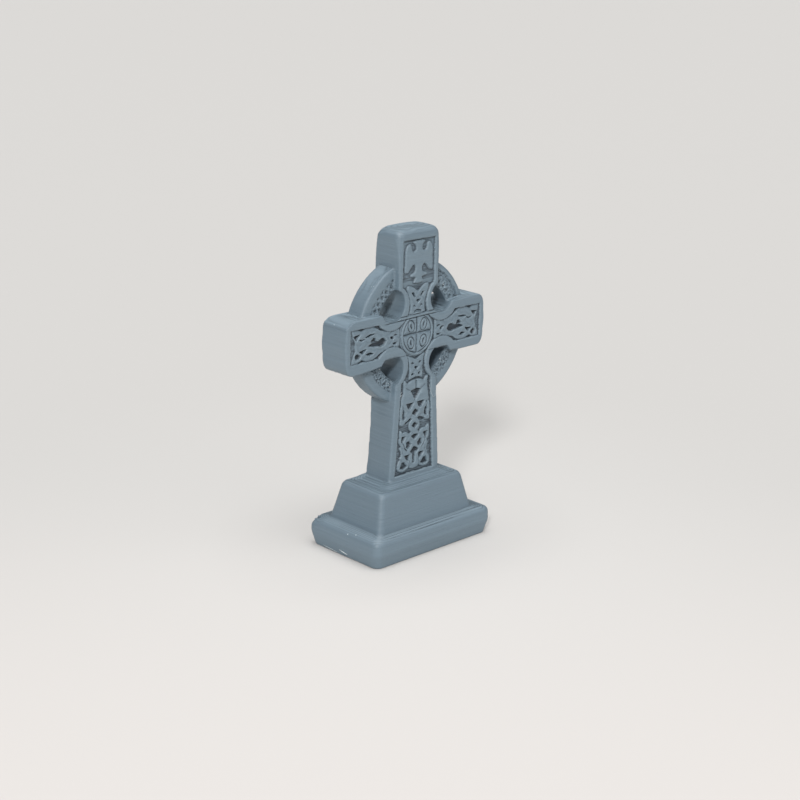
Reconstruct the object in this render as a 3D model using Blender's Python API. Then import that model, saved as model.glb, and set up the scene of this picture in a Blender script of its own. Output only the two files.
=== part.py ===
"""A small ringed cross memorial made in one piece with its stepped plinth.

The cross stands on the plinth and faces -Y. Its front carries sunk panels with raised
knotwork, a displayed bird in the head and a quartered boss where the arms meet.
Lengths are in metres, written in millimetres times MM. The origin is the middle of the
underside.
"""
import math

import bmesh
import bpy
from mathutils import Vector
from mathutils.geometry import delaunay_2d_cdt

MM = 0.001
NODE = "ringed_cross_memorial"

# Plinth
SLAB_HEIGHT = 5.5 * MM
SLAB_WIDEST_Z = 2.7 * MM
SLAB_FLOOR_INSET = 0.73 * MM
SLAB_LEDGE_X = 3.1 * MM
SLAB_LEDGE_Y = 2.6 * MM
SLAB_CORNER = 1.5 * MM
SLAB_TOP_ROUND = 1.1 * MM
LEDGE_RISE = 0.1 * MM
BLOCK_HEIGHT = 7.2 * MM
BLOCK_BATTER_X = 1.85 * MM
BLOCK_BATTER_Y = 1.6 * MM
BLOCK_SHELF_X = 3.8 * MM
BLOCK_SHELF_Y = 2.2 * MM
BLOCK_CORNER = 1.1 * MM
BLOCK_SHOULDER = 1.6 * MM
BLOCK_COVE = 0.45 * MM
BLOCK_CAP_RISE = 0.8 * MM

# Cross
SHAFT_RISE = 28.4 * MM
HEAD_RISE = 20.1 * MM
CROSS_DEPTH = 6.6 * MM
HEAD_WIDTH = 10.2 * MM
HEAD_CORNER = 1.4 * MM
HEAD_TOP_ROUND = 1.3 * MM
ARM_SPAN = 36.2 * MM
ARM_HEIGHT = 9.7 * MM
ARM_CORNER = 1.45 * MM
ARM_END_BULGE = 0.35 * MM
SHAFT_FOOT_WIDTH = 13.3 * MM
SHAFT_TOP_WIDTH = 10.1 * MM
SHAFT_SINK = 1.5 * MM
EDGE_ROUND = 0.45 * MM

# Round notches in the four corners between the arms and the upright
NOTCH_RADIUS = 3.0 * MM
NOTCH_OUT_X = 1.25 * MM
NOTCH_OUT_Z = 1.35 * MM

# Ring
RING_OUTER = 13.7 * MM
RING_WIDTH = 3.75 * MM
RING_DEPTH = 3.9 * MM
RING_EDGE_ROUND = 0.5 * MM
RING_BORDER = 1.6 * MM
RING_BORDER_SLOPE = 0.15 * MM
RING_BAND_SINK = 0.35 * MM

# Sunk panels of the cross
PANEL_SINK = 0.7 * MM
BACK_PANEL_SINK = 0.45 * MM
PANEL_HEAD_BORDER = 1.0 * MM
PANEL_HEAD_TOP_BORDER = 2.15 * MM
PANEL_ARM_BORDER = 1.65 * MM
PANEL_ARM_END_BORDER = 1.2 * MM
PANEL_SHAFT_BORDER = 1.55 * MM
PANEL_FOOT_BORDER = 1.0 * MM
PANEL_NOTCH_BORDER = 1.3 * MM
PANEL_ARC_OUT_X = 0.15 * MM
PANEL_ARC_IN_Z = 0.4 * MM

# Carving
RELIEF_SHY = 0.1 * MM
RELIEF_ROOT = 0.2 * MM
STRAND_WIDTH = 1.0 * MM
ARM_STRAND_WIDTH = 0.9 * MM
CARVING_GAP = 0.3 * MM
SHAFT_KNOT_ROWS = 5
BEAST_RISE = 4.5 * MM
NECK_KNOT_LENGTH = 4.3 * MM
ARM_KNOT_END_DIP = 0.5 * MM
ARM_STUD_LENGTH = 2.2 * MM
ARM_STUD_HEIGHT = 1.7 * MM
ARM_HOLLOW_LENGTH = 2.8 * MM
ARM_HOLLOW_HEIGHT = 1.3 * MM
BIRD_FOOT_GAP = 0.95 * MM
BIRD_SIDE_GAP = 0.8 * MM
BOSS_RADIUS = 4.2 * MM
BOSS_RIM = 0.45 * MM
BOSS_RIM_SET_IN = 0.08 * MM
BOSS_GROOVE = 0.3 * MM
BOSS_SINK = 0.4 * MM
BOSS_DROP_LENGTH = 1.9 * MM
BOSS_DROP_WIDTH = 1.2 * MM
BOSS_DROP_WALL = 0.35 * MM
BOSS_DROP_RISE = 0.2 * MM
BAND_STRAND_WIDTH = 0.5 * MM
BAND_RELIEF = 0.3 * MM
BAND_KNOT_CELLS = 4

# How a strand runs in its grid of cells, in half cells
TURN_SHY = 0.35
TURN_REACH = 1.3

# Sampling of round forms
ARC_STEP = math.radians(20.0)
ROUND_STEPS = 2
LINK_STEPS = 2
CORNER_STEPS = 3
OVAL_STEPS = 10
BOSS_STEPS = 28
RING_STEPS = 60
MERGE = 1e-7

# Sizes that follow
BLOCK_TOP_WIDTH = SHAFT_FOOT_WIDTH + 2 * BLOCK_SHELF_X
BLOCK_TOP_DEPTH = CROSS_DEPTH + 2 * BLOCK_SHELF_Y
BLOCK_FOOT_WIDTH = BLOCK_TOP_WIDTH + 2 * BLOCK_BATTER_X
BLOCK_FOOT_DEPTH = BLOCK_TOP_DEPTH + 2 * BLOCK_BATTER_Y
SLAB_WIDTH = BLOCK_FOOT_WIDTH + 2 * SLAB_LEDGE_X
SLAB_DEPTH = BLOCK_FOOT_DEPTH + 2 * SLAB_LEDGE_Y
BLOCK_TOP_Z = SLAB_HEIGHT + BLOCK_HEIGHT
PLINTH_TOP_Z = BLOCK_TOP_Z + BLOCK_CAP_RISE
CENTRE_Z = PLINTH_TOP_Z + SHAFT_RISE
HEIGHT = CENTRE_Z + HEAD_RISE
HALF_DEPTH = CROSS_DEPTH / 2
ARM_TOP_Z = CENTRE_Z + ARM_HEIGHT / 2
ARM_BOTTOM_Z = CENTRE_Z - ARM_HEIGHT / 2
NOTCH_X = HEAD_WIDTH / 2 + NOTCH_OUT_X
NOTCH_Z = ARM_HEIGHT / 2 + NOTCH_OUT_Z
RING_INNER = RING_OUTER - RING_WIDTH
PANEL_FOOT_Z = PLINTH_TOP_Z + PANEL_FOOT_BORDER
PANEL_ARM_END = ARM_SPAN / 2 - PANEL_ARM_END_BORDER
PANEL_ARM_HALF = ARM_HEIGHT / 2 - PANEL_ARM_BORDER
PANEL_HEAD_HALF = HEAD_WIDTH / 2 - PANEL_HEAD_BORDER
PANEL_TOP_Z = HEIGHT - PANEL_HEAD_TOP_BORDER
PANEL_ARC_RADIUS = NOTCH_RADIUS + PANEL_NOTCH_BORDER
PANEL_ARC_X = NOTCH_X + PANEL_ARC_OUT_X
PANEL_ARC_Z = NOTCH_Z - PANEL_ARC_IN_Z
RELIEF_TOP_Y = -HALF_DEPTH + RELIEF_SHY
RELIEF_ROOT_Y = -HALF_DEPTH + PANEL_SINK + RELIEF_ROOT
NECK_KNOT_START = BOSS_RADIUS + CARVING_GAP
NECK_KNOT_END = NECK_KNOT_START + NECK_KNOT_LENGTH
BIRD_TOP_Z = PANEL_TOP_Z - CARVING_GAP
BIRD_HEIGHT = BIRD_TOP_Z - CENTRE_Z - NECK_KNOT_END - BIRD_FOOT_GAP


def clear_scene():
    """Remove whatever is in the scene."""
    for obj in list(bpy.data.objects):
        bpy.data.objects.remove(obj, do_unlink=True)


def shaft_half_width(z):
    """Half the shaft's width, which tapers from the plinth to the arms."""
    share = (z - PLINTH_TOP_Z) / (ARM_BOTTOM_Z - PLINTH_TOP_Z)
    return (SHAFT_FOOT_WIDTH + (SHAFT_TOP_WIDTH - SHAFT_FOOT_WIDTH) * share) / 2


def arc(x, z, radius, start, end, steps=None):
    """Points of an arc in the XZ plane, both ends included."""
    count = steps or max(2, round(abs(end - start) / ARC_STEP))
    turns = [start + (end - start) * k / count for k in range(count + 1)]
    return [(x + radius * math.cos(t), z + radius * math.sin(t)) for t in turns]


def mirrored(half):
    """A closed outline from its right half, listed from the bottom to the top."""
    return half + [(-x, z) for x, z in reversed(half) if abs(x) > MERGE]


def loft(loops):
    """A closed mesh through loops of equal count, capped at both ends."""
    bm = bmesh.new()
    rings = [[bm.verts.new(p) for p in loop] for loop in loops]
    for low, high in zip(rings, rings[1:]):
        for k in range(len(low)):
            n = (k + 1) % len(low)
            bm.faces.new((low[k], low[n], high[n], high[k]))
    bm.faces.new(list(reversed(rings[0])))
    bm.faces.new(rings[-1])
    bmesh.ops.recalc_face_normals(bm, faces=bm.faces)
    return bm


def to_object(name, bm, material=None):
    """A scene object from a bmesh."""
    mesh = bpy.data.meshes.new(name)
    bm.to_mesh(mesh)
    bm.free()
    obj = bpy.data.objects.new(name, mesh)
    bpy.context.scene.collection.objects.link(obj)
    if material:
        mesh.materials.append(material)
    return obj


def tool(name, bm):
    """A helper solid, drawn as wire, that a Boolean reads."""
    obj = to_object(name, bm)
    obj.hide_render = True
    obj.display_type = "WIRE"
    return obj


def combine(target, other, operation):
    """Fuse a helper solid with the target, or cut it away."""
    modifier = target.modifiers.new(operation.lower() + "_" + other.name, "BOOLEAN")
    modifier.operation = operation
    modifier.solver = "EXACT"
    modifier.object = other


def prism(outline, front_y, back_y):
    """A solid between two depths from an outline in the XZ plane."""
    loops = [[(x, y, z) for x, z in outline] for y in (front_y, back_y)]
    return loft(loops)


def corner_arc(x, drop, radius, side, level):
    """The round notch in one corner of a cross, as (x, distance from the centre's height).

    It runs from the upright edge at side to the level edge that lies level from the
    centre.
    """
    start = math.acos(max(-1.0, (side - x) / radius))
    end = 2 * math.pi + math.asin(max(-1.0, (level - drop) / radius))
    return arc(x, drop, radius, start, end)


def cross_outline():
    """The cross seen from the front, each point with the rounding of its edge."""
    half = []

    def add(points, rounding=EDGE_ROUND):
        half.extend((x, z, rounding) for x, z in points)

    foot_z = PLINTH_TOP_Z - SHAFT_SINK
    add([(0.0, foot_z), (shaft_half_width(foot_z), foot_z)])
    side = shaft_half_width(CENTRE_Z - NOTCH_Z)
    notch = corner_arc(NOTCH_X, NOTCH_Z, NOTCH_RADIUS, side, ARM_HEIGHT / 2)
    add([(x, CENTRE_Z - away) for x, away in notch])

    tip = ARM_SPAN / 2 - ARM_END_BULGE
    corner_x = tip - ARM_CORNER
    add(arc(corner_x, ARM_BOTTOM_Z + ARM_CORNER, ARM_CORNER, -math.pi / 2, 0.0, CORNER_STEPS))
    add([(tip + ARM_END_BULGE, CENTRE_Z)])
    add(arc(corner_x, ARM_TOP_Z - ARM_CORNER, ARM_CORNER, 0.0, math.pi / 2, CORNER_STEPS))

    head = HEAD_WIDTH / 2
    notch = corner_arc(NOTCH_X, NOTCH_Z, NOTCH_RADIUS, head, ARM_HEIGHT / 2)
    add([(x, CENTRE_Z + away) for x, away in reversed(notch)])
    corner = (head - HEAD_CORNER, HEIGHT - HEAD_CORNER)
    add([(head, corner[1] - HEAD_CORNER)])
    add(arc(*corner, HEAD_CORNER, 0.0, math.pi / 2, CORNER_STEPS), HEAD_TOP_ROUND)
    add([(0.0, HEIGHT)], HEAD_TOP_ROUND)
    return half + [(-x, z, r) for x, z, r in reversed(half) if x > MERGE]


def cross_solid():
    """The cross as a slab whose edges are rounded front and back."""
    outline = cross_outline()
    count = len(outline)
    normals = []
    for k in range(count):
        before = Vector(outline[k - 1][:2])
        after = Vector(outline[(k + 1) % count][:2])
        along = (after - before).normalized()
        normals.append(Vector((along.y, -along.x)))

    def loop(turn, side):
        points = []
        for (x, z, rounding), normal in zip(outline, normals):
            inset = rounding * (1 - math.sin(turn))
            depth = HALF_DEPTH - rounding * (1 - math.cos(turn))
            points.append((x - normal.x * inset, side * depth, z - normal.y * inset))
        return points

    turns = [math.pi / 2 * k / ROUND_STEPS for k in range(ROUND_STEPS + 1)]
    return loft([loop(t, -1) for t in turns] + [loop(t, 1) for t in reversed(turns)])


def ring_solid():
    """The ring, turned from a profile with rounded outer edges and a sunk front band."""
    half = RING_DEPTH / 2
    border = RING_OUTER - RING_BORDER
    profile = [(RING_INNER, half - RING_BAND_SINK), (RING_INNER, -half + RING_BAND_SINK)]
    profile += [(border, -half + RING_BAND_SINK), (border + RING_BORDER_SLOPE, -half)]
    for side in (-1, 1):
        turns = [math.pi / 2 * k / ROUND_STEPS for k in range(ROUND_STEPS + 1)]
        if side == 1:
            turns.reverse()
        for t in turns:
            radius = RING_OUTER - RING_EDGE_ROUND * (1 - math.sin(t))
            profile.append((radius, side * (half - RING_EDGE_ROUND * (1 - math.cos(t)))))
    profile += [(border + RING_BORDER_SLOPE, half), (border, half - RING_BAND_SINK)]

    bm = bmesh.new()
    verts = [bm.verts.new((r, y, CENTRE_Z)) for r, y in profile]
    edges = [bm.edges.new((verts[k], verts[(k + 1) % len(verts)])) for k in range(len(verts))]
    bmesh.ops.spin(
        bm,
        geom=verts + edges,
        cent=(0.0, 0.0, CENTRE_Z),
        axis=(0.0, 1.0, 0.0),
        dvec=(0.0, 0.0, 0.0),
        angle=2 * math.pi,
        steps=RING_STEPS,
        use_merge=True,
    )
    bmesh.ops.recalc_face_normals(bm, faces=bm.faces)
    return bm


def rounded_rectangle(width, depth, corner, z):
    """A rectangle with round corners at height z."""
    points = []
    for quarter, (sx, sy) in enumerate([(1, 1), (-1, 1), (-1, -1), (1, -1)]):
        x = sx * (width / 2 - corner)
        y = sy * (depth / 2 - corner)
        start = quarter * math.pi / 2
        turned = arc(x, y, corner, start, start + math.pi / 2, CORNER_STEPS)
        points += [(px, py, z) for px, py in turned]
    return points


def plinth_solid():
    """The base slab and the battered block on it, in one loft from the floor up."""
    loops = []

    def add(width, depth, corner, z):
        loops.append(rounded_rectangle(width, depth, corner, z))

    inset = 2 * SLAB_FLOOR_INSET
    add(SLAB_WIDTH - inset, SLAB_DEPTH - inset, SLAB_CORNER, 0.0)
    add(SLAB_WIDTH, SLAB_DEPTH, SLAB_CORNER, SLAB_WIDEST_Z)
    for k in range(ROUND_STEPS + 1):
        turn = math.pi / 2 * k / ROUND_STEPS
        inset = 2 * SLAB_TOP_ROUND * (1 - math.cos(turn))
        z = SLAB_HEIGHT - SLAB_TOP_ROUND * (1 - math.sin(turn))
        add(SLAB_WIDTH - inset, SLAB_DEPTH - inset, SLAB_CORNER, z)

    for k in range(ROUND_STEPS + 1):
        turn = math.pi / 2 * k / ROUND_STEPS
        out = 2 * BLOCK_COVE * (1 - math.sin(turn))
        z = SLAB_HEIGHT + LEDGE_RISE + BLOCK_COVE * (1 - math.cos(turn))
        add(BLOCK_FOOT_WIDTH + out, BLOCK_FOOT_DEPTH + out, BLOCK_CORNER, z)
    shoulder = min(BLOCK_SHOULDER, BLOCK_SHELF_X, BLOCK_SHELF_Y)
    for k in range(ROUND_STEPS + 1):
        turn = math.pi / 2 * k / ROUND_STEPS
        inset = 2 * shoulder * (1 - math.cos(turn))
        z = BLOCK_TOP_Z - shoulder * (1 - math.sin(turn))
        add(BLOCK_TOP_WIDTH - inset, BLOCK_TOP_DEPTH - inset, BLOCK_CORNER, z)
    add(SHAFT_FOOT_WIDTH + BLOCK_COVE, CROSS_DEPTH + BLOCK_COVE, BLOCK_CORNER, PLINTH_TOP_Z)
    return loft(loops)


def panel_half_width(z):
    """Half the width of the upright sunk panel at a height, round the notches too."""
    rise = abs(z - CENTRE_Z)
    straight = PANEL_HEAD_HALF
    if z < CENTRE_Z:
        straight = shaft_half_width(z) - PANEL_SHAFT_BORDER
    reach = abs(rise - PANEL_ARC_Z)
    if reach >= PANEL_ARC_RADIUS:
        return straight
    return min(straight, PANEL_ARC_X - math.sqrt(PANEL_ARC_RADIUS ** 2 - reach ** 2))


def panel_half_height(x):
    """Half the height of the sunk panel in the arms, at a distance from the middle."""
    reach = abs(abs(x) - PANEL_ARC_X)
    if reach >= PANEL_ARC_RADIUS:
        return PANEL_ARM_HALF
    return min(PANEL_ARM_HALF, PANEL_ARC_Z - math.sqrt(PANEL_ARC_RADIUS ** 2 - reach ** 2))


def panel_outline():
    """The sunk panel that runs through head, arms and shaft, as one closed outline."""
    foot = shaft_half_width(PANEL_FOOT_Z) - PANEL_SHAFT_BORDER
    half = [(0.0, PANEL_FOOT_Z), (foot, PANEL_FOOT_Z)]
    side = shaft_half_width(CENTRE_Z - PANEL_ARC_Z - PANEL_ARC_RADIUS) - PANEL_SHAFT_BORDER
    bend = corner_arc(PANEL_ARC_X, PANEL_ARC_Z, PANEL_ARC_RADIUS, side, PANEL_ARM_HALF)
    half += [(x, CENTRE_Z - away) for x, away in bend]
    half += [(PANEL_ARM_END, CENTRE_Z - PANEL_ARM_HALF), (PANEL_ARM_END, CENTRE_Z + PANEL_ARM_HALF)]
    bend = corner_arc(PANEL_ARC_X, PANEL_ARC_Z, PANEL_ARC_RADIUS, PANEL_HEAD_HALF, PANEL_ARM_HALF)
    half += [(x, CENTRE_Z + away) for x, away in reversed(bend)]
    half += [(PANEL_HEAD_HALF, PANEL_TOP_Z), (0.0, PANEL_TOP_Z)]
    return mirrored(half)


def interlace(columns, rows, walls=(), missing=()):
    """Centre lines of a plaited knot on a grid of cells, in half-cell units.

    Strands cross at the middle of every edge that two cells share. A wall there, "v" or
    "h", turns them so that they pass upright or level, and at the rim they turn back.
    """
    walls = dict(walls)
    reach = {}
    for c in range(columns):
        for r in range(rows):
            if (c, r) in missing:
                continue
            west, east = (2 * c, 2 * r + 1), (2 * c + 2, 2 * r + 1)
            south, north = (2 * c + 1, 2 * r), (2 * c + 1, 2 * r + 2)
            for a, b in ((west, south), (south, east), (east, north), (north, west)):
                step = (b[0] - a[0], b[1] - a[1])
                reach.setdefault(a, {})[step] = b
                reach.setdefault(b, {})[(-step[0], -step[1])] = a

    def partner(point, step):
        straight, upright, level = (-step[0], -step[1]), (step[0], -step[1]), (-step[0], step[1])
        wall = walls.get(point)
        if wall is None and straight in reach[point]:
            return straight, "x"
        if wall == "v" or (wall is None and upright in reach[point]):
            return upright, "v"
        return level, "h"

    strands = []
    used = set()
    for start in sorted(reach):
        for first in sorted(reach[start]):
            if (start, first) in used:
                continue
            strand = []
            point, step = start, first
            while (point, step) not in used:
                back, kind = partner(point, step)
                strand.append((point, step, kind))
                used.add((point, step))
                used.add((point, back))
                following = reach[point][step]
                arrived = (-step[0], -step[1])
                used.add((following, arrived))
                point, step = following, partner(following, arrived)[0]
            strands.append(strand)
    return strands


def strand_line(strand, shy):
    """Points along one closed strand, in half-cell units."""
    nodes = []
    for (i, j), (dx, dz), kind in strand:
        if kind == "x":
            nodes.append((Vector((i, j)), Vector((dx, dz))))
        elif kind == "v":
            nodes.append((Vector((i + dx * shy, j)), Vector((0.0, dz * TURN_REACH))))
        else:
            nodes.append((Vector((i, j + dz * shy)), Vector((dx * TURN_REACH, 0.0))))
    line = []
    for k, (p, tp) in enumerate(nodes):
        q, tq = nodes[(k + 1) % len(nodes)]
        steps = 1 if (tp - tq).length < MERGE else LINK_STEPS
        for s in range(steps):
            t = s / steps
            line.append(
                p * (2 * t ** 3 - 3 * t ** 2 + 1)
                + tp * (t ** 3 - 2 * t ** 2 + t)
                + q * (3 * t ** 2 - 2 * t ** 3)
                + tq * (t ** 3 - t ** 2)
            )
    return line


def ribbon(points, width):
    """Triangles that make a flat ribbon of even width along a closed line."""
    count = len(points)
    sides = []
    for k, p in enumerate(points):
        along = (Vector(points[(k + 1) % count]) - Vector(points[k - 1])).normalized()
        normal = Vector((-along.y, along.x)) * width / 2
        sides.append((Vector(p) + normal, Vector(p) - normal))
    pieces = []
    for k in range(count):
        (a, b), (c, d) = sides[k], sides[(k + 1) % count]
        pieces += [[a, b, d], [a, d, c]]
    return pieces


def knot(columns, rows, place, width, shy=TURN_SHY, walls=(), missing=()):
    """The ribbons of a plaited knot, put in the XZ plane by place(i, j)."""
    pieces = []
    for strand in interlace(columns, rows, walls, missing):
        line = [place(p.x, p.y) for p in strand_line(strand, shy)]
        pieces += ribbon(line, width)
    return pieces


def disc(x, z, radius_x, radius_z, steps=OVAL_STEPS):
    """An ellipse as a polygon."""
    turns = [2 * math.pi * k / steps for k in range(steps)]
    return [(x + radius_x * math.cos(t), z + radius_z * math.sin(t)) for t in turns]


def counter_clockwise(shapes):
    """The shapes that have an area, each turned the same way."""
    turned = []
    for shape in shapes:
        pairs = zip(shape, shape[1:] + shape[:1])
        area = sum(a[0] * b[1] - b[0] * a[1] for a, b in pairs) / 2
        if abs(area) > MERGE * MM:
            turned.append(shape if area > 0 else shape[::-1])
    return turned


def plate(bm, shapes, front_y, back_y, hollows=()):
    """Add a closed plate that covers the shapes together, less the hollows."""
    solid, cut = counter_clockwise(shapes), counter_clockwise(hollows)
    points, loops = [], []
    for shape in solid + cut:
        loops.append(list(range(len(points), len(points) + len(shape))))
        points += [Vector(p) for p in shape]
    verts, _, faces, _, _, origins = delaunay_2d_cdt(points, [], loops, 4, MERGE, True)
    kept = [f for f, o in zip(faces, origins) if o and max(o) < len(solid)]
    made = {}
    for face in kept:
        for k in face:
            if k not in made:
                made[k] = bm.verts.new((verts[k].x, back_y, verts[k].y))
    base = [bm.faces.new([made[k] for k in face]) for face in kept]
    bmesh.ops.dissolve_limit(
        bm,
        angle_limit=math.radians(0.5),
        verts=list({v for f in base for v in f.verts}),
        edges=list({e for f in base for e in f.edges}),
    )
    level = [f for f in bm.faces if all(abs(v.co.y - back_y) < MERGE for v in f.verts)]
    raised = bmesh.ops.extrude_face_region(bm, geom=level)["geom"]
    moved = [g for g in raised if isinstance(g, bmesh.types.BMVert)]
    bmesh.ops.translate(bm, verts=moved, vec=(0.0, front_y - back_y, 0.0))


def relief(name, parts, front_y, back_y):
    """One helper solid of several separate plates."""
    bm = bmesh.new()
    for shapes, hollows in parts:
        single = bmesh.new()
        plate(single, shapes, front_y, back_y, hollows)
        bmesh.ops.recalc_face_normals(single, faces=single.faces)
        mesh = bpy.data.meshes.new("plate")
        single.to_mesh(mesh)
        single.free()
        bm.from_mesh(mesh)
        bpy.data.meshes.remove(mesh)
    return tool(name, bm)


def shaft_carving():
    """The long knot of the shaft, and the two confronted beasts above it."""
    bottom = PANEL_FOOT_Z + CARVING_GAP
    top = CENTRE_Z - NECK_KNOT_END - CARVING_GAP
    knot_top = top - BEAST_RISE
    half_cell = (knot_top - bottom) / (2 * SHAFT_KNOT_ROWS)

    def place(i, j):
        z = bottom + j * half_cell
        return ((i / 3.0 - 1.0) * (panel_half_width(z) - CARVING_GAP), z)

    shapes = knot(3, SHAFT_KNOT_ROWS, place, STRAND_WIDTH, walls={(3, 2): "v"}, missing={(0, 3), (2, 3)})
    beast = [(-0.02, -0.1), (0.9, -0.1), (1.0, 0.25), (0.96, 0.6), (0.98, 0.98), (0.8, 1.0)]
    beast += [(0.62, 0.86), (0.4, 0.96), (0.1, 0.94), (0.08, 0.6), (0.38, 0.5), (0.0, 0.12)]
    for side in (-1, 1):
        outline = []
        for across, up in beast:
            z = knot_top + up * BEAST_RISE
            outline.append((side * across * (panel_half_width(z) - CARVING_GAP), z))
        shapes.append(outline)
    return shapes


def neck_knot(upright, sign):
    """A narrow knot beside the boss, two cells wide."""
    def place(i, j):
        away = NECK_KNOT_START + j / 4.0 * NECK_KNOT_LENGTH
        if upright:
            half = panel_half_width(CENTRE_Z + sign * away) - CARVING_GAP
            return ((i / 2.0 - 1.0) * half, CENTRE_Z + sign * away)
        half = panel_half_height(away) - CARVING_GAP
        return (sign * away, CENTRE_Z + (i / 2.0 - 1.0) * half)

    return knot(2, 2, place, ARM_STRAND_WIDTH)


def arm_knot(side):
    """The knot at the end of an arm, three cells by three, and the hollow before it."""
    inner = NECK_KNOT_END - ARM_STRAND_WIDTH / 2
    length = PANEL_ARM_END - CARVING_GAP - inner

    def place(i, j):
        x = inner + j / 6.0 * length
        dip = ARM_KNOT_END_DIP * max(0.0, j - 5.0) * (1 - abs(i / 3.0 - 1.0))
        half = panel_half_height(x) - CARVING_GAP
        return (side * (x - dip), CENTRE_Z + (i / 3.0 - 1.0) * half)

    shapes = knot(3, 3, place, ARM_STRAND_WIDTH)
    for j in (3, 5):
        shapes.append(disc(*place(3, j), ARM_STUD_LENGTH / 2, ARM_STUD_HEIGHT / 2))
    hollow = disc(*place(3, 1), ARM_HOLLOW_LENGTH / 2, ARM_HOLLOW_HEIGHT / 2)
    return shapes, [hollow]


def bird():
    """A displayed bird: head, spread wings, claws and tail, as overlapping shapes."""
    w, h = PANEL_HEAD_HALF - BIRD_SIDE_GAP, BIRD_HEIGHT
    body = [(-0.2, 0.03), (0.2, 0.03), (0.3, 0.6), (-0.3, 0.6)]
    beak = [(-0.26, 0.07), (0.38, 0.07), (0.2, 0.0), (-0.2, 0.0)]
    tail = [(-0.16, 0.58), (-0.18, 0.84), (-0.36, 0.95), (0.0, 1.0)]
    tail += [(-x, z) for x, z in reversed(tail[:-1])]
    shares = [body, beak, tail]
    for side in (-1, 1):
        wing = [(0.1, 0.6), (0.1, 0.27), (0.55, 0.22), (0.64, 0.1), (0.82, 0.05), (0.95, 0.14)]
        wing += [(1.0, 0.4), (0.98, 0.74), (0.82, 0.7), (0.66, 0.74), (0.5, 0.62), (0.36, 0.58)]
        claw = [(0.15, 0.62), (0.15, 0.74), (0.46, 0.86), (0.54, 0.76)]
        shares += [[(side * x, z) for x, z in wing], [(side * x, z) for x, z in claw]]
    return [[(x * w, BIRD_TOP_Z - z * h) for x, z in share] for share in shares]


def boss_quarters():
    """The boss's rim and its four quarters, parted by grooves."""
    middle = BOSS_RADIUS - BOSS_RIM_SET_IN - BOSS_RIM / 2
    rim = disc(0.0, CENTRE_Z, middle, middle, BOSS_STEPS)
    parts = [(ribbon(rim, BOSS_RIM), [])]
    field = middle - BOSS_RIM / 2 - BOSS_GROOVE
    reach = math.asin(BOSS_GROOVE / 2 / field)
    heart = BOSS_GROOVE / 2 * math.sqrt(2)
    for quarter in range(4):
        start = quarter * math.pi / 2 + reach
        edge = arc(0.0, CENTRE_Z, field, start, start + math.pi / 2 - 2 * reach)
        turn = (quarter + 0.5) * math.pi / 2
        tip = (heart * math.cos(turn), CENTRE_Z + heart * math.sin(turn))
        parts.append(([[tip] + edge], []))
    return parts


def boss_drops():
    """A raised oval ring on each quarter of the boss."""
    parts = []
    away = BOSS_RADIUS / 2
    for quarter in range(4):
        turn = (quarter + 0.5) * math.pi / 2
        x, z = away * math.cos(turn), CENTRE_Z + away * math.sin(turn)
        half_width, half_length = BOSS_DROP_WIDTH / 2, BOSS_DROP_LENGTH / 2
        outer = disc(x, z, half_width, half_length)
        inner = disc(x, z, half_width - BOSS_DROP_WALL, half_length - BOSS_DROP_WALL)
        parts.append(([outer], [inner]))
    return parts


def band_carving():
    """Two twisted strands along each quarter of the ring that shows."""
    low = RING_INNER + BAND_STRAND_WIDTH / 2
    high = RING_OUTER - RING_BORDER - BAND_STRAND_WIDTH / 2
    middle = (low + high) / 2
    from_arm = math.asin(ARM_HEIGHT / 2 / middle)
    from_upright = math.asin(HEAD_WIDTH / 2 / middle)
    parts = []
    for side in (-1, 1):
        for rise in (-1, 1):
            def place(i, j):
                share = j / (2.0 * BAND_KNOT_CELLS)
                angle = from_arm + (math.pi / 2 - from_upright - from_arm) * share
                radius = low + (high - low) * i / 2.0
                return (side * radius * math.cos(angle), CENTRE_Z + rise * radius * math.sin(angle))

            parts.append((knot(1, BAND_KNOT_CELLS, place, BAND_STRAND_WIDTH, shy=0.0), []))
    return parts


def plastic():
    """Matt blue-grey plastic."""
    material = bpy.data.materials.new("blue_grey_plastic")
    material.use_nodes = True
    shader = material.node_tree.nodes["Principled BSDF"]
    shader.inputs["Base Color"].default_value = (0.165, 0.225, 0.265, 1.0)
    shader.inputs["Roughness"].default_value = 0.5
    shader.inputs["Metallic"].default_value = 0.0
    return material


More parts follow.
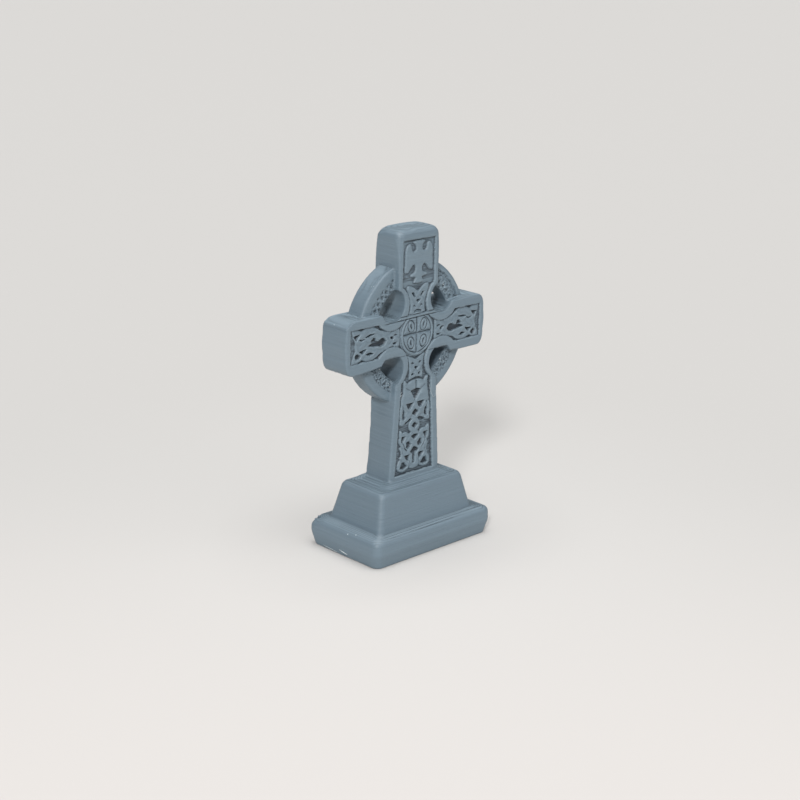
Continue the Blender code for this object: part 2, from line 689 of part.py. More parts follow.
def build():
    """Model the memorial as one solid."""
    clear_scene()
    memorial = to_object(NODE, cross_solid(), plastic())
    front, back = -HALF_DEPTH, HALF_DEPTH

    outline = panel_outline()
    front_panel = prism(outline, front - PANEL_SINK, front + PANEL_SINK)
    combine(memorial, tool("front_panel", front_panel), "DIFFERENCE")
    back_panel = prism(outline, back - BACK_PANEL_SINK, back + BACK_PANEL_SINK)
    combine(memorial, tool("back_panel", back_panel), "DIFFERENCE")

    carving = [(shaft_carving(), []), (bird(), [])]
    carving += [(neck_knot(True, sign), []) for sign in (-1, 1)]
    for side in (-1, 1):
        shapes, hollows = arm_knot(side)
        carving.append((shapes + neck_knot(False, side), hollows))
    combine(memorial, relief("carving", carving, RELIEF_TOP_Y, RELIEF_ROOT_Y), "UNION")

    round_field = disc(0.0, CENTRE_Z, BOSS_RADIUS, BOSS_RADIUS, BOSS_STEPS)
    boss_y = front + BOSS_SINK
    combine(memorial, tool("boss", prism(round_field, boss_y, RELIEF_ROOT_Y)), "UNION")
    combine(memorial, tool("back_boss", prism(round_field, 0.0, back - RELIEF_SHY)), "UNION")
    quarters = relief("boss_quarters", boss_quarters(), RELIEF_TOP_Y, boss_y + RELIEF_ROOT)
    combine(memorial, quarters, "UNION")
    drops = relief("boss_drops", boss_drops(), RELIEF_TOP_Y - BOSS_DROP_RISE, boss_y)
    combine(memorial, drops, "UNION")

    combine(memorial, tool("ring", ring_solid()), "UNION")
    band_y = -RING_DEPTH / 2 + RING_BAND_SINK
    band = relief("band_carving", band_carving(), band_y - BAND_RELIEF, band_y + RELIEF_ROOT)
    combine(memorial, band, "UNION")
    combine(memorial, tool("plinth", plinth_solid()), "UNION")


build()
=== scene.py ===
# %% [markdown]
# # A ringed cross memorial, printed in blue-grey plastic
# The real object is a small plastic print of a carved stone memorial. Cross, ring and
# plinth came off the printer as one piece, so they are one closed mesh here too. The packed
# solid already has the right outline. This script dresses it: woven knotwork, a bird, a
# quartered boss, the small faults of printing, and the plastic itself.

# %% Load the frame
import math

import bmesh
import bpy
import numpy as np
from mathutils import Matrix, Vector, noise


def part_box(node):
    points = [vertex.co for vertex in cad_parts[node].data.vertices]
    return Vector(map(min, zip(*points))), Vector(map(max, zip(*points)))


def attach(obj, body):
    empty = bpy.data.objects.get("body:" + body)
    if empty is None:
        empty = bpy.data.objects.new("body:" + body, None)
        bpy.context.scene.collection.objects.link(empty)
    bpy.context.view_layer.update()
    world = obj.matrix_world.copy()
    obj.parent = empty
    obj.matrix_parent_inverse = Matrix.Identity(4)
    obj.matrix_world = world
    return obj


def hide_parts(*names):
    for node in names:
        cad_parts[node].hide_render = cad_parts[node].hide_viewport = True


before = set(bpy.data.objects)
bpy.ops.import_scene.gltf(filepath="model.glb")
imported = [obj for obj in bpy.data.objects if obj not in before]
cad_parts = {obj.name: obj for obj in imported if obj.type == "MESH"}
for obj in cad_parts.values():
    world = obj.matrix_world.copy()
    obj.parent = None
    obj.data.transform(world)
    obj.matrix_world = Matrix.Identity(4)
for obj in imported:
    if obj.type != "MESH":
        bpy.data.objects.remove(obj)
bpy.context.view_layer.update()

NODE = "ringed_cross_memorial"

# %% [markdown]
# ## Sizes
# A print this small is easier to think about in millimetres, so everything is modelled with
# one unit to the millimetre, and the finished mesh is scaled to metres at the end. The
# driving sizes are the same as the solid's. The height, the span and the slab's depth come
# from the node's box.

# %% Driving sizes in millimetres
MM = 0.001
LOW, HIGH = [np.array(corner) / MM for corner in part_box(NODE)]
HEIGHT = HIGH[2]
ARM_SPAN = HIGH[0] - LOW[0]
PLINTH_TOP = 13.5
CENTRE = 41.9
DEPTH = 6.6
FRONT = -DEPTH / 2
BACK = DEPTH / 2
HEAD_WIDTH = 10.2
ARM_HEIGHT = 9.7
SHAFT_FOOT_WIDTH = 13.3
SHAFT_TOP_WIDTH = 10.1
ARM_BOTTOM = CENTRE - ARM_HEIGHT / 2
NOTCH_RADIUS = 3.0
NOTCH_X = 6.35
NOTCH_Z = 6.2
RING_OUTER = 14.0
RING_INNER = 9.95
RING_DEPTH = 3.9
print("height", round(HEIGHT, 2), "span", round(ARM_SPAN, 2))


def shaft_half(z):
    """Half the shaft's width at a height."""
    share = (z - PLINTH_TOP) / (ARM_BOTTOM - PLINTH_TOP)
    return (SHAFT_FOOT_WIDTH + (SHAFT_TOP_WIDTH - SHAFT_FOOT_WIDTH) * share) / 2


# %% [markdown]
# ## Camera and light
# The camera stands where the photographer's did: to the left of the front and a little
# above. Its place comes from a fit of the outline, so the render can be laid over the
# photograph. A key light from the left casts one weak shadow to the right, and a wide
# fill, a light from straight above and a dim pale surround soften it.

# %% The camera
AZIMUTH = math.radians(-44.56)
ELEVATION = math.radians(17.45)
ROLL = math.radians(1.39)
FOCAL_PIXELS = 1630.72
IMAGE_PIXELS = 800
SENSOR = 36.0
CAMERA_DISTANCE = 310.34
AIM = Vector((0.0, 0.0, 31.0))
SLIDE_RIGHT = 0.78
SLIDE_UP = 2.79


def add_camera():
    """The camera, with its picture plane turned by the small roll of the photograph."""
    level = Vector((math.cos(AZIMUTH), math.sin(AZIMUTH), 0.0))
    back = Vector((
        math.sin(AZIMUTH) * math.cos(ELEVATION),
        -math.cos(AZIMUTH) * math.cos(ELEVATION),
        math.sin(ELEVATION),
    ))
    upright = back.cross(level)
    right = math.cos(ROLL) * level + math.sin(ROLL) * upright
    up = -math.sin(ROLL) * level + math.cos(ROLL) * upright
    place = AIM - SLIDE_RIGHT * right - SLIDE_UP * up + CAMERA_DISTANCE * back
    data = bpy.data.cameras.new("camera")
    data.sensor_width = SENSOR
    data.lens = SENSOR * FOCAL_PIXELS / IMAGE_PIXELS
    data.clip_start = 0.01
    data.dof.use_dof = False
    camera = bpy.data.objects.new("camera", data)
    turn = Matrix((right, up, back)).transposed().to_4x4()
    camera.matrix_world = Matrix.Translation(place * MM) @ turn
    bpy.context.scene.collection.objects.link(camera)
    bpy.context.scene.camera = camera
    print("lens", round(data.lens, 2), "mm at", [round(v * MM, 4) for v in place])


add_camera()

# %% The lights and the surround
KEY_LIGHT = dict(bearing=216.0, rise=33.0, spread=9.0, strength=1.98, colour=(1.0, 0.99, 0.985))
FILL_LIGHT = dict(bearing=290.0, rise=35.0, spread=60.0, strength=0.62, colour=(1.0, 0.99, 0.985))
TOP_LIGHT = dict(bearing=225.0, rise=88.0, spread=60.0, strength=2.85, colour=(1.0, 0.995, 0.99))
SURROUND = (0.98, 0.99, 1.0)
SURROUND_STRENGTH = 0.14


def far_light(name, bearing, rise, spread, strength, colour):
    """A soft far light, from a bearing and a rise above the floor in degrees."""
    data = bpy.data.lights.new(name, "SUN")
    data.energy = strength
    data.angle = math.radians(spread)
    data.color = colour
    light = bpy.data.objects.new(name, data)
    turn, lift = math.radians(bearing), math.radians(rise)
    level = math.cos(lift)
    towards = Vector((math.cos(turn) * level, math.sin(turn) * level, math.sin(lift)))
    light.matrix_world = towards.to_track_quat("Z", "Y").to_matrix().to_4x4()
    bpy.context.scene.collection.objects.link(light)


far_light("key_light", **KEY_LIGHT)
far_light("fill_light", **FILL_LIGHT)
far_light("top_light", **TOP_LIGHT)
world = bpy.data.worlds.new("surround")
world.use_nodes = True
background = world.node_tree.nodes["Background"]
background.inputs["Color"].default_value = (*SURROUND, 1.0)
background.inputs["Strength"].default_value = SURROUND_STRENGTH
bpy.context.scene.world = world
bpy.context.scene.view_settings.view_transform = "Standard"
print("lights:", len(bpy.data.lights), "and a dim surround")

# %% [markdown]
# ## Materials in plain sums
# A material here is a sum of patterns. Wires that can be added and multiplied let the
# sums be read as they are written.

# %% Shader sums in plain Python


class Wire:
    """A shader socket that can be added to and multiplied in plain Python."""

    tree = None

    def __init__(self, socket):
        self.socket = socket

    @classmethod
    def node(cls, kind, settings=None, inputs=None, output=0):
        """Any node: its settings first, then the values or links of its sockets."""
        made = cls.tree.nodes.new(kind)
        for name, value in (settings or {}).items():
            setattr(made, name, value)
        for name, value in (inputs or {}).items():
            socket = made.inputs[name]
            if isinstance(value, Wire):
                cls.tree.links.new(value.socket, socket)
            else:
                socket.default_value = value
        return cls(made.outputs[output])

    def math(self, operation, other=None, swap=False):
        """A Math node on this wire and another or a number."""
        pair = [self] if other is None else ([other, self] if swap else [self, other])
        return Wire.node("ShaderNodeMath", {"operation": operation}, dict(enumerate(pair)))

    def __add__(self, other):
        return self.math("ADD", other)

    def __mul__(self, other):
        return self.math("MULTIPLY", other)

    def __sub__(self, other):
        return self.math("SUBTRACT", other)

    def __rsub__(self, other):
        return self.math("SUBTRACT", other, swap=True)


def mix(share, first, second):
    """A colour between two colours or wires."""
    return Wire.node("ShaderNodeMix", {"data_type": "RGBA"}, {0: share, 6: first, 7: second}, output=2)


def new_material(name):
    """A material and its shader. The wires that follow belong to it."""
    material = bpy.data.materials.new(name)
    material.use_nodes = True
    Wire.tree = material.node_tree
    return material, Wire.tree.nodes["Principled BSDF"]


# %% [markdown]
# ## The floor
# The floor is a sheet of pale paper. Its tone is painted light: painted brighter towards the
# camera and round the memorial, and painted slowly darker to an even tone behind it.

# %% The paper floor
FLOOR_SIZE = 6.0
# Painted light on the paper: a brighter tone near the camera, a dimmer one behind, and a pool round the
# memorial
PAPER_PAINTED_LIGHT_NEAR = (0.568, 0.546, 0.528, 1.0)
PAPER_PAINTED_LIGHT_FAR = (0.480, 0.472, 0.459, 1.0)
WHITE = (1.0, 1.0, 1.0, 1.0)
NEAR_END = -0.12
FAR_END = 0.045
PAINTED_LIGHT_POOL = 0.06
PAINTED_LIGHT_POOL_END = 0.12
PAPER_ROUGHNESS = 0.9


def smooth_range(value, start, end, low=0.0, high=1.0):
    """A smooth change from low to high while a wire goes from start to end."""
    return Wire.node(
        "ShaderNodeMapRange", {"interpolation_type": "SMOOTHSTEP"},
        {"Value": value, "From Min": start, "From Max": end, "To Min": low, "To Max": high},
    )


def paper():
    """Pale paper, its tone painted light that fades along the line of sight and pools round the
    memorial.
    """
    material, shader = new_material("pale_floor")
    shader.inputs["Roughness"].default_value = PAPER_ROUGHNESS
    spot = Wire.node("ShaderNodeTexCoord", output="Object")
    sight = (-math.sin(AZIMUTH), math.cos(AZIMUTH), 0.0)
    along = Wire.node("ShaderNodeVectorMath", {"operation": "DOT_PRODUCT"}, {0: spot, 1: sight}, "Value")
    away = Wire.node("ShaderNodeVectorMath", {"operation": "LENGTH"}, {0: spot}, "Value")
    # Painted light: the paper is painted brighter near the camera and round the memorial
    tone = mix(smooth_range(along, NEAR_END, FAR_END), PAPER_PAINTED_LIGHT_NEAR, PAPER_PAINTED_LIGHT_FAR)
    lit = mix(smooth_range(away, 0.0, PAINTED_LIGHT_POOL_END, PAINTED_LIGHT_POOL, 0.0), tone, WHITE)
    Wire.tree.links.new(lit.socket, shader.inputs["Base Color"])
    return material


def to_mesh_object(name, bm):
    """A scene object from a bmesh."""
    mesh = bpy.data.meshes.new(name)
    bm.to_mesh(mesh)
    bm.free()
    made = bpy.data.objects.new(name, mesh)
    bpy.context.scene.collection.objects.link(made)
    return made


bm = bmesh.new()
bmesh.ops.create_grid(bm, x_segments=1, y_segments=1, size=FLOOR_SIZE / 2)
floor = to_mesh_object("floor", bm)
floor.data.materials.append(paper())
print("floor:", FLOOR_SIZE, "m of paper")

# %% [markdown]
# ## The plain body
# The print is one piece, but it is easiest to think of it as a few simple solids pushed
# into each other: an outline cut from a slab for the cross, a turned ring, and three
# rounded blocks for the plinth. They overlap, and a voxel remesh keeps only the outer
# skin, just as a slicing program does before it prints.

# %% Small helpers for solids
TOUCH = 0.01


def bevel(bm, test, offset, segments):
    """Round the edges that pass a test of (middle, edge)."""
    edges = [e for e in bm.edges if test((e.verts[0].co + e.verts[1].co) / 2, e)]
    bmesh.ops.bevel(
        bm, geom=edges, offset=offset, offset_type="OFFSET", segments=segments,
        profile=0.5, affect="EDGES", clamp_overlap=True, material=-1,
    )


def pull(bm, face, move, scale=(1.0, 1.0, 1.0)):
    """Extrude a face, scale it and move it, and give the new face."""
    raised = bmesh.ops.extrude_face_region(bm, geom=[face])["geom"]
    face = next(g for g in raised if isinstance(g, bmesh.types.BMFace))
    moved = list(face.verts)
    bmesh.ops.scale(bm, verts=moved, vec=scale)
    bmesh.ops.translate(bm, verts=moved, vec=move)
    return face


def keeps_depth(edge):
    """Whether an edge runs along the front or the back, not between them."""
    return abs(edge.verts[0].co.y - edge.verts[1].co.y) < TOUCH


# %% The cross
ARM_CORNER = 1.45
HEAD_CORNER = 1.4
HEAD_TOP_ROUND = 1.3
SHAFT_SINK = 1.5
ARM_END_BULGE = 0.35


def cross_slab():
    """The cross without its round notches: an outline pulled to its depth."""
    half = [
        (0.0, PLINTH_TOP - SHAFT_SINK),
        (shaft_half(PLINTH_TOP - SHAFT_SINK), PLINTH_TOP - SHAFT_SINK),
        (shaft_half(ARM_BOTTOM), ARM_BOTTOM),
        (ARM_SPAN / 2 - ARM_END_BULGE, ARM_BOTTOM),
        (ARM_SPAN / 2, CENTRE),
        (ARM_SPAN / 2 - ARM_END_BULGE, CENTRE + ARM_HEIGHT / 2),
        (HEAD_WIDTH / 2, CENTRE + ARM_HEIGHT / 2),
        (HEAD_WIDTH / 2, HEIGHT),
        (0.0, HEIGHT),
    ]
    outline = half + [(-x, z) for x, z in reversed(half) if x > 0]
    bm = bmesh.new()
    verts = [bm.verts.new((x, FRONT, z)) for x, z in outline]
    face = bmesh.ops.contextual_create(bm, geom=verts)["faces"][0]
    pull(bm, face, (0.0, DEPTH, 0.0))
    bmesh.ops.recalc_face_normals(bm, faces=bm.faces)
    arm_tip = ARM_SPAN / 2 - 2 * ARM_END_BULGE

    def tip_edge(middle, edge):
        return abs(middle.y) < 0.1 and abs(middle.x) > arm_tip and abs(middle.z - CENTRE) > 1

    def head_edge(middle, edge):
        return abs(middle.y) < 0.1 and middle.z > HEIGHT - 0.1 and abs(middle.x) > 1

    def top_rim(middle, edge):
        return keeps_depth(edge) and middle.z > HEIGHT - HEAD_CORNER + TOUCH

    bevel(bm, tip_edge, ARM_CORNER, 5)
    bevel(bm, head_edge, HEAD_CORNER, 5)
    bevel(bm, top_rim, HEAD_TOP_ROUND, 4)
    return bm


def notch_cutters():
    """Four round rods that cut the notches between the arms."""
    bm = bmesh.new()
    for side in (-1, 1):
        for rise in (-1, 1):
            turn = Matrix.Rotation(math.pi / 2, 4, "X")
            place = Matrix.Translation((side * NOTCH_X, 0.0, CENTRE + rise * NOTCH_Z))
            bmesh.ops.create_cone(
                bm, cap_ends=True, segments=48, radius1=NOTCH_RADIUS, radius2=NOTCH_RADIUS,
                depth=2 * DEPTH, matrix=place @ turn,
            )
    return bm


def cut(target, cutter):
    """Take one solid away from another for good."""
    modifier = target.modifiers.new("cut", "BOOLEAN")
    modifier.operation = "DIFFERENCE"
    modifier.solver = "EXACT"
    modifier.object = cutter
    keep_evaluated(target)
    bpy.data.objects.remove(cutter, do_unlink=True)


def keep_evaluated(target):
    """Make what the modifiers give the object's own mesh."""
    graph = bpy.context.evaluated_depsgraph_get()
    mesh = bpy.data.meshes.new_from_object(target.evaluated_get(graph))
    target.modifiers.clear()
    target.data = mesh


cross = to_mesh_object("cross", cross_slab())
cut(cross, to_mesh_object("notches", notch_cutters()))
print("cross:", len(cross.data.vertices), "vertices")

# %% [markdown]
# ## The sunk panel
# One sunk panel runs through head, arms and shaft, and bends round the notches. The
# photograph doesn't show the back. A memorial like this one is plainer there, so it gets
# the same panel with a plain round boss, and no knots.

# %% The panel outline
PANEL_FOOT = PLINTH_TOP + 1.0
PANEL_TOP = HEIGHT - 2.15
PANEL_HEAD_HALF = 4.1
PANEL_ARM_END = ARM_SPAN / 2 - 1.2
PANEL_ARM_HALF = 3.2
PANEL_SHAFT_BORDER = 1.55
PANEL_ARC = 4.3
PANEL_ARC_X = 6.5
PANEL_ARC_Z = 5.8
BACK_SINK = 0.5
BOSS_RADIUS = 4.2


def bend(side, count=18):
    """The arc of the panel round a notch, as (x, height over the centre)."""
    start = math.acos((side - PANEL_ARC_X) / PANEL_ARC)
    end = 2 * math.pi + math.asin((PANEL_ARM_HALF - PANEL_ARC_Z) / PANEL_ARC)
    turns = [start + (end - start) * k / count for k in range(count + 1)]
    spots = [(PANEL_ARC * math.cos(t), PANEL_ARC * math.sin(t)) for t in turns]
    return [(PANEL_ARC_X + across, PANEL_ARC_Z + rise) for across, rise in spots]


def panel_outline():
    """The sunk panel that runs through head, arms and shaft."""
    low_side = shaft_half(CENTRE - PANEL_ARC_Z - PANEL_ARC) - PANEL_SHAFT_BORDER
    half = [(shaft_half(PANEL_FOOT) - PANEL_SHAFT_BORDER, PANEL_FOOT)]
    half += [(x, CENTRE - away) for x, away in bend(low_side)]
    half += [(PANEL_ARM_END, CENTRE - PANEL_ARM_HALF), (PANEL_ARM_END, CENTRE + PANEL_ARM_HALF)]
    half += [(x, CENTRE + away) for x, away in reversed(bend(PANEL_HEAD_HALF))]
    half.append((PANEL_HEAD_HALF, PANEL_TOP))
    return half + [(-x, z) for x, z in reversed(half)]


print("panel outline:", len(panel_outline()), "points")

# %% The ring
RING_EDGE = 0.55
RING_RISE = 0.08


def ring_body():
    """The ring, spun once round from its section."""
    half = RING_DEPTH / 2
    bm = bmesh.new()
    section = [(RING_INNER, -half), (RING_OUTER, -half), (RING_OUTER, half), (RING_INNER, half)]
    verts = [bm.verts.new((r, y, CENTRE)) for r, y in section]
    edges = [bm.edges.new((verts[k], verts[(k + 1) % 4])) for k in range(4)]
    bmesh.ops.spin(
        bm, geom=verts + edges, cent=(0.0, 0.0, CENTRE), axis=(0.0, 1.0, 0.0),
        dvec=(0.0, 0.0, 0.0), angle=2 * math.pi, steps=144, use_merge=True,
    )
    bmesh.ops.recalc_face_normals(bm, faces=bm.faces)

    def front_rim(middle, edge):
        away = math.hypot(middle.x, middle.z - CENTRE)
        return keeps_depth(edge) and middle.y < 0 and away > RING_OUTER - 0.1

    bevel(bm, front_rim, RING_EDGE, 4)
    bmesh.ops.translate(bm, verts=bm.verts, vec=(0.0, 0.0, RING_RISE))
    return bm


# %% The plinth
SLAB_WIDTH = 31.0
SLAB_DEPTH = HIGH[1] - LOW[1]
SLAB_TOP = 5.5
SLAB_WIDEST = 2.7
SLAB_INSET = 0.6
SLAB_TAPER = 0.1
BLOCK_FOOT = (25.3, 14.7)
BLOCK_TOP = (21.5, 11.4)
BLOCK_TOP_Z = 13.0
CAP = [(20.0, 10.0, BLOCK_TOP_Z - 0.45), (15.0, 8.0, PLINTH_TOP + 0.25)]


def rounded_block(levels, corner, top_round, segments=5):
    """A block through rectangles (width, depth, z), its upright and top edges rounded."""
    bm = bmesh.new()
    width, depth, low = levels[0]
    corners = [(sx * width / 2, sy * depth / 2) for sx, sy in ((1, 1), (-1, 1), (-1, -1), (1, -1))]
    verts = [bm.verts.new((x, y, low)) for x, y in corners]
    face = bmesh.ops.contextual_create(bm, geom=verts)["faces"][0]
    for (w0, d0, z0), (w1, d1, z1) in zip(levels, levels[1:]):
        face = pull(bm, face, (0.0, 0.0, z1 - z0), (w1 / w0, d1 / d0, 1.0))
    bmesh.ops.recalc_face_normals(bm, faces=bm.faces)
    top = levels[-1][2]

    def upright(middle, edge):
        return abs(edge.verts[0].co.z - edge.verts[1].co.z) > 0.1

    def top_rim(middle, edge):
        return middle.z > top - TOUCH and not upright(middle, edge)

    bevel(bm, upright, corner, segments)
    bevel(bm, top_rim, top_round, segments)
    return bm


def plinth_solids():
    """The slab, the battered block and the low cap that leads up to the shaft."""
    levels = [
        (SLAB_WIDTH - 2 * SLAB_INSET, SLAB_DEPTH - 2 * SLAB_INSET, 0.0),
        (SLAB_WIDTH, SLAB_DEPTH, SLAB_WIDEST),
        (SLAB_WIDTH - SLAB_TAPER, SLAB_DEPTH - SLAB_TAPER, SLAB_TOP),
    ]
    slab = rounded_block(levels, 1.5, 1.15)
    block = rounded_block([(*BLOCK_FOOT, SLAB_TOP - 0.6), (*BLOCK_TOP, BLOCK_TOP_Z)], 1.1, 1.75)
    return [slab, block, rounded_block(CAP, 0.6, 0.4)]


# %% Fuse the solids
VOXEL = 0.2


def join_solids(name, meshes):
    """One object that holds several closed solids."""
    joined = bmesh.new()
    for bm in meshes:
        mesh = bpy.data.meshes.new("solid")
        bm.to_mesh(mesh)
        bm.free()
        joined.from_mesh(mesh)
        bpy.data.meshes.remove(mesh)
    return to_mesh_object(name, joined)


def fuse(target, voxel):
    """Keep only the outer skin of overlapping solids."""
    modifier = target.modifiers.new("skin", "REMESH")
    modifier.mode = "VOXEL"
    modifier.voxel_size = voxel
    modifier.adaptivity = 0.0
    keep_evaluated(target)


cross_bm = bmesh.new()
cross_bm.from_mesh(cross.data)
memorial = join_solids("memorial", [cross_bm, ring_body()] + plinth_solids())
bpy.data.objects.remove(cross, do_unlink=True)
fuse(memorial, VOXEL)
print("fused skin:", len(memorial.data.polygons), "faces")

# %% [markdown]
# ## A soft edge everywhere
# Melted plastic can't hold a sharp edge, so every edge of the real print is rounded by about
# half a millimetre. A few rounds of smoothing do the same to the voxel skin, and more of
# them round the hollow corners at the feet of the shaft and of the block.

# %% Round the edges
SMOOTH_ROUNDS = 2
# Each cove: its lowest and highest point, its half width and half depth, and its rounds
COVES = [(12.9, 14.7, 8.6, 4.7, 12), (5.2, 6.2, 13.2, 8.0, 3)]


def smooth(bm, verts, rounds):
    """Move points halfway to the mean of their neighbours, a few times."""
    for _ in range(rounds):
        bmesh.ops.smooth_vert(
            bm, verts=verts, factor=0.5, use_axis_x=True, use_axis_y=True, use_axis_z=True,
        )


bm = bmesh.new()
bm.from_mesh(memorial.data)
smooth(bm, bm.verts, SMOOTH_ROUNDS)
for low, high, half_x, half_y, rounds in COVES:
    level = [v for v in bm.verts if low < v.co.z < high]
    cove = [v for v in level if abs(v.co.x) < half_x and abs(v.co.y) < half_y]
    smooth(bm, cove, rounds)
print("coves:", len(COVES))

# %% [markdown]
# ## What the printer did
# Each layer lies a hair off the one below, so the upright faces waver. Where a layer had
# nothing under it, it sagged: the tops of the lower notches are flat, and the undersides of
# the arms are ragged and hang low. The head leans out, its top is domed, and the end of
# the left arm has a step near its top and a groove under it.

# %% Ripples for points
LAYER = 0.2
SAMPLE = 0.02


def ramp(values, start, width):
    """0 up to a start, then straight up to 1 over a width, downwards if it is negative."""
    return np.clip((values - start) / width, 0, 1)


def ripple(x, z, size, seed):
    """Smooth noise over the front, one value for each point."""
    return np.array([noise.noise(Vector((px / size, seed, pz / size))) for px, pz in zip(x, z)])


def layer_shift(z, seed, size=1.6 * LAYER):
    """A shift that is the same all along a printed layer."""
    table = {}
    for k in np.unique(np.round(z / SAMPLE)):
        table[k] = noise.noise(Vector((seed, 7.3, k * SAMPLE / size)))
    return np.array([table[k] for k in np.round(z / SAMPLE)])


def put_points(bm, place):
    """Move a mesh's points."""
    for vert, point in zip(bm.verts, place):
        vert.co = point
    bm.normal_update()


# %% Waver, sags and ragged undersides
WAVER = 0.045
SLOW_WAVER = 0.6
FRONT_WAVER = 0.25
SAG_LEVEL = 38.25
SAG = 0.12

bm.normal_update()
place = np.array([v.co for v in bm.verts])
normal = np.array([v.normal for v in bm.verts])
x, y, z = place.T

upright = np.clip(1.3 - 1.6 * np.abs(normal[:, 2]), 0, 1)
shift = WAVER * layer_shift(z, 1.7) + SLOW_WAVER * WAVER * layer_shift(z, 5.1, 1.9)
place[:, 0] += normal[:, 0] * upright * shift
place[:, 1] += normal[:, 1] * upright * shift * FRONT_WAVER

ceiling = (normal[:, 2] < -0.25) & (z > SAG_LEVEL - 0.1) & (z < 38.9) & (np.abs(x) < 9.4)
hung = SAG_LEVEL - SAG * np.abs(layer_shift(x, 3.3, 0.9)) - 0.06 * layer_shift(y, 8.8, 0.7)
place[ceiling, 2] = np.minimum(z, hung)[ceiling]

under = (normal[:, 2] < -0.5) & (np.abs(z - ARM_BOTTOM) < 0.3) & (np.abs(x) > 8.5)
ragged = np.abs(layer_shift(y, 2.1, 0.45)) + 0.6 * np.abs(ripple(x, y, 1.3, 4.4))
place[under, 2] -= SAG * 1.2 * ragged[under]
print("faulty points:", int(ceiling.sum()), "sagged,", int(under.sum()), "ragged")

# %% Parts that are out of true
HEAD_FLARE = 0.42
HEAD_RISE = 0.08
DOME = 0.4
BACK_CORNER_DROP = 0.45
GROOVE_Z = 45.3
GROOVE_HALF = 0.16
GROOVE_IN = 0.04
DENT_X, DENT_Z, DENT_RADIUS, DENT_IN = 8.4, 47.3, 1.4, 0.75
X, Y, Z = 0, 1, 2
ANY = math.inf

# Each shift: the axis it moves along, how far, the ramps (axis, start, width) that give
# its strength, and the one limit (axis, low, high) that it stays within
SHIFTS = {
    "step at the left arm's end": (X, 0.2, [(X, -16.0, -1.2)], (Z, 45.95, ANY)),
    "high top of the right arm": (Z, 0.25, [(Z, 45.9, 0.8), (X, 9.0, 3.0)], (Z, -ANY, 47.2)),
    "low top of the left arm": (
        Z, -0.35, [(Z, 45.9, 0.8), (X, -14.5, -3.0), (X, -14.5, -3.0)], (Z, -ANY, 47.2)),
    "hanging left arm": (Z, -0.5, [(Z, 38.2, -0.8), (X, -9.5, -5.0)], (Z, 36.0, ANY)),
    "hanging right arm": (Z, -0.15, [(Z, 38.2, -0.8), (X, 9.5, 2.0)], (Z, 36.0, ANY)),
    "full end of the left arm": (X, -0.12, [(X, -17.0, -0.5)], (Z, -ANY, 45.6)),
    "low back corner of the slab": (
        Z, -0.9, [(X, -12.5, -2.5), (Y, 6.0, 3.0), (Z, 3.5, 1.5)], (Z, -ANY, 6.2)),
    "pinched back edge of the shaft": (
        X, 0.3, [(Z, 14.5, 2.0), (Z, 29.0, -5.0), (Y, 0.5, 2.5), (X, -4.2, -1.5)], (X, -7.5, ANY)),
}

in_groove = (normal[:, 0] < -0.6) & (x < -17.0) & (np.abs(z - GROOVE_Z) < GROOVE_HALF)
place[in_groove, 0] += GROOVE_IN
place[:, 0] += HEAD_FLARE * ramp(z, 54, 6) * np.clip(x / 5, -0.5, 1) * (np.abs(x) < 6)
head_top = ramp(z, 60.0, 1.5)
bulge = (x / (HEAD_WIDTH / 2)) ** 2 * 0.6 + (y / BACK) ** 2 * 0.4
place[:, 2] += head_top * (HEAD_RISE - DOME * bulge)
place[:, 2] -= BACK_CORNER_DROP * head_top * ramp(x, -3.0, -2.0) * ramp(y, 0.5, 2.5)
for axis, size, ramps, (limited, low, high) in SHIFTS.values():
    share = np.ones(len(place))
    for along, start, width in ramps:
        share *= ramp(place[:, along], start, width)
    place[:, axis] += size * share * (place[:, limited] > low) * (place[:, limited] < high)
# The ring's back is worn where a spot of the paper shows through
dent = np.clip(DENT_RADIUS - np.hypot(x - DENT_X, z - DENT_Z), 0, 1) * (y > 0.5) * (y < 2.2)
place[:, 1] -= DENT_IN * dent

put_points(bm, place)
print("out of true:", ", ".join(SHIFTS))

# %% [markdown]
# ## A finer mesh where the carving goes
# The carving needs points about every tenth of a millimetre, but the plinth doesn't. So
# only the faces of the front panels and of the ring's front are divided once more.

# %% Divide the carved fronts
RING_FRONT = -RING_DEPTH / 2
FACING = 0.8
CARVED_FROM = PANEL_FOOT - 0.6


def in_carved_front(middle, normal):
    """Whether a face lies on the carved front of the cross or of the ring."""
    if normal.y > -FACING:
        return False
    if middle.y < FRONT + 0.15:
        return middle.z > CARVED_FROM
    away = math.hypot(middle.x, middle.z - CENTRE)
    return abs(middle.y - RING_FRONT) < 0.15 and away < RING_OUTER


fine = {f for f in bm.faces if in_carved_front(f.calc_center_median(), f.normal)}
fine_edges = list({e for f in fine for e in f.edges})
bmesh.ops.subdivide_edges(bm, edges=fine_edges, cuts=1, use_grid_fill=True)
print("after dividing:", len(bm.faces), "faces")

# %% [markdown]
# ## The plait
# Knotwork of this kind is drawn on a grid of square cells. Two strands cross at the middle
# of every side that two cells share, and they turn back where a cell has no neighbour. A
# wall put in such a side makes them turn there too. Following every strand from crossing to
# crossing gives closed lines, which go over and under by turns.

# %% Strands of a plait


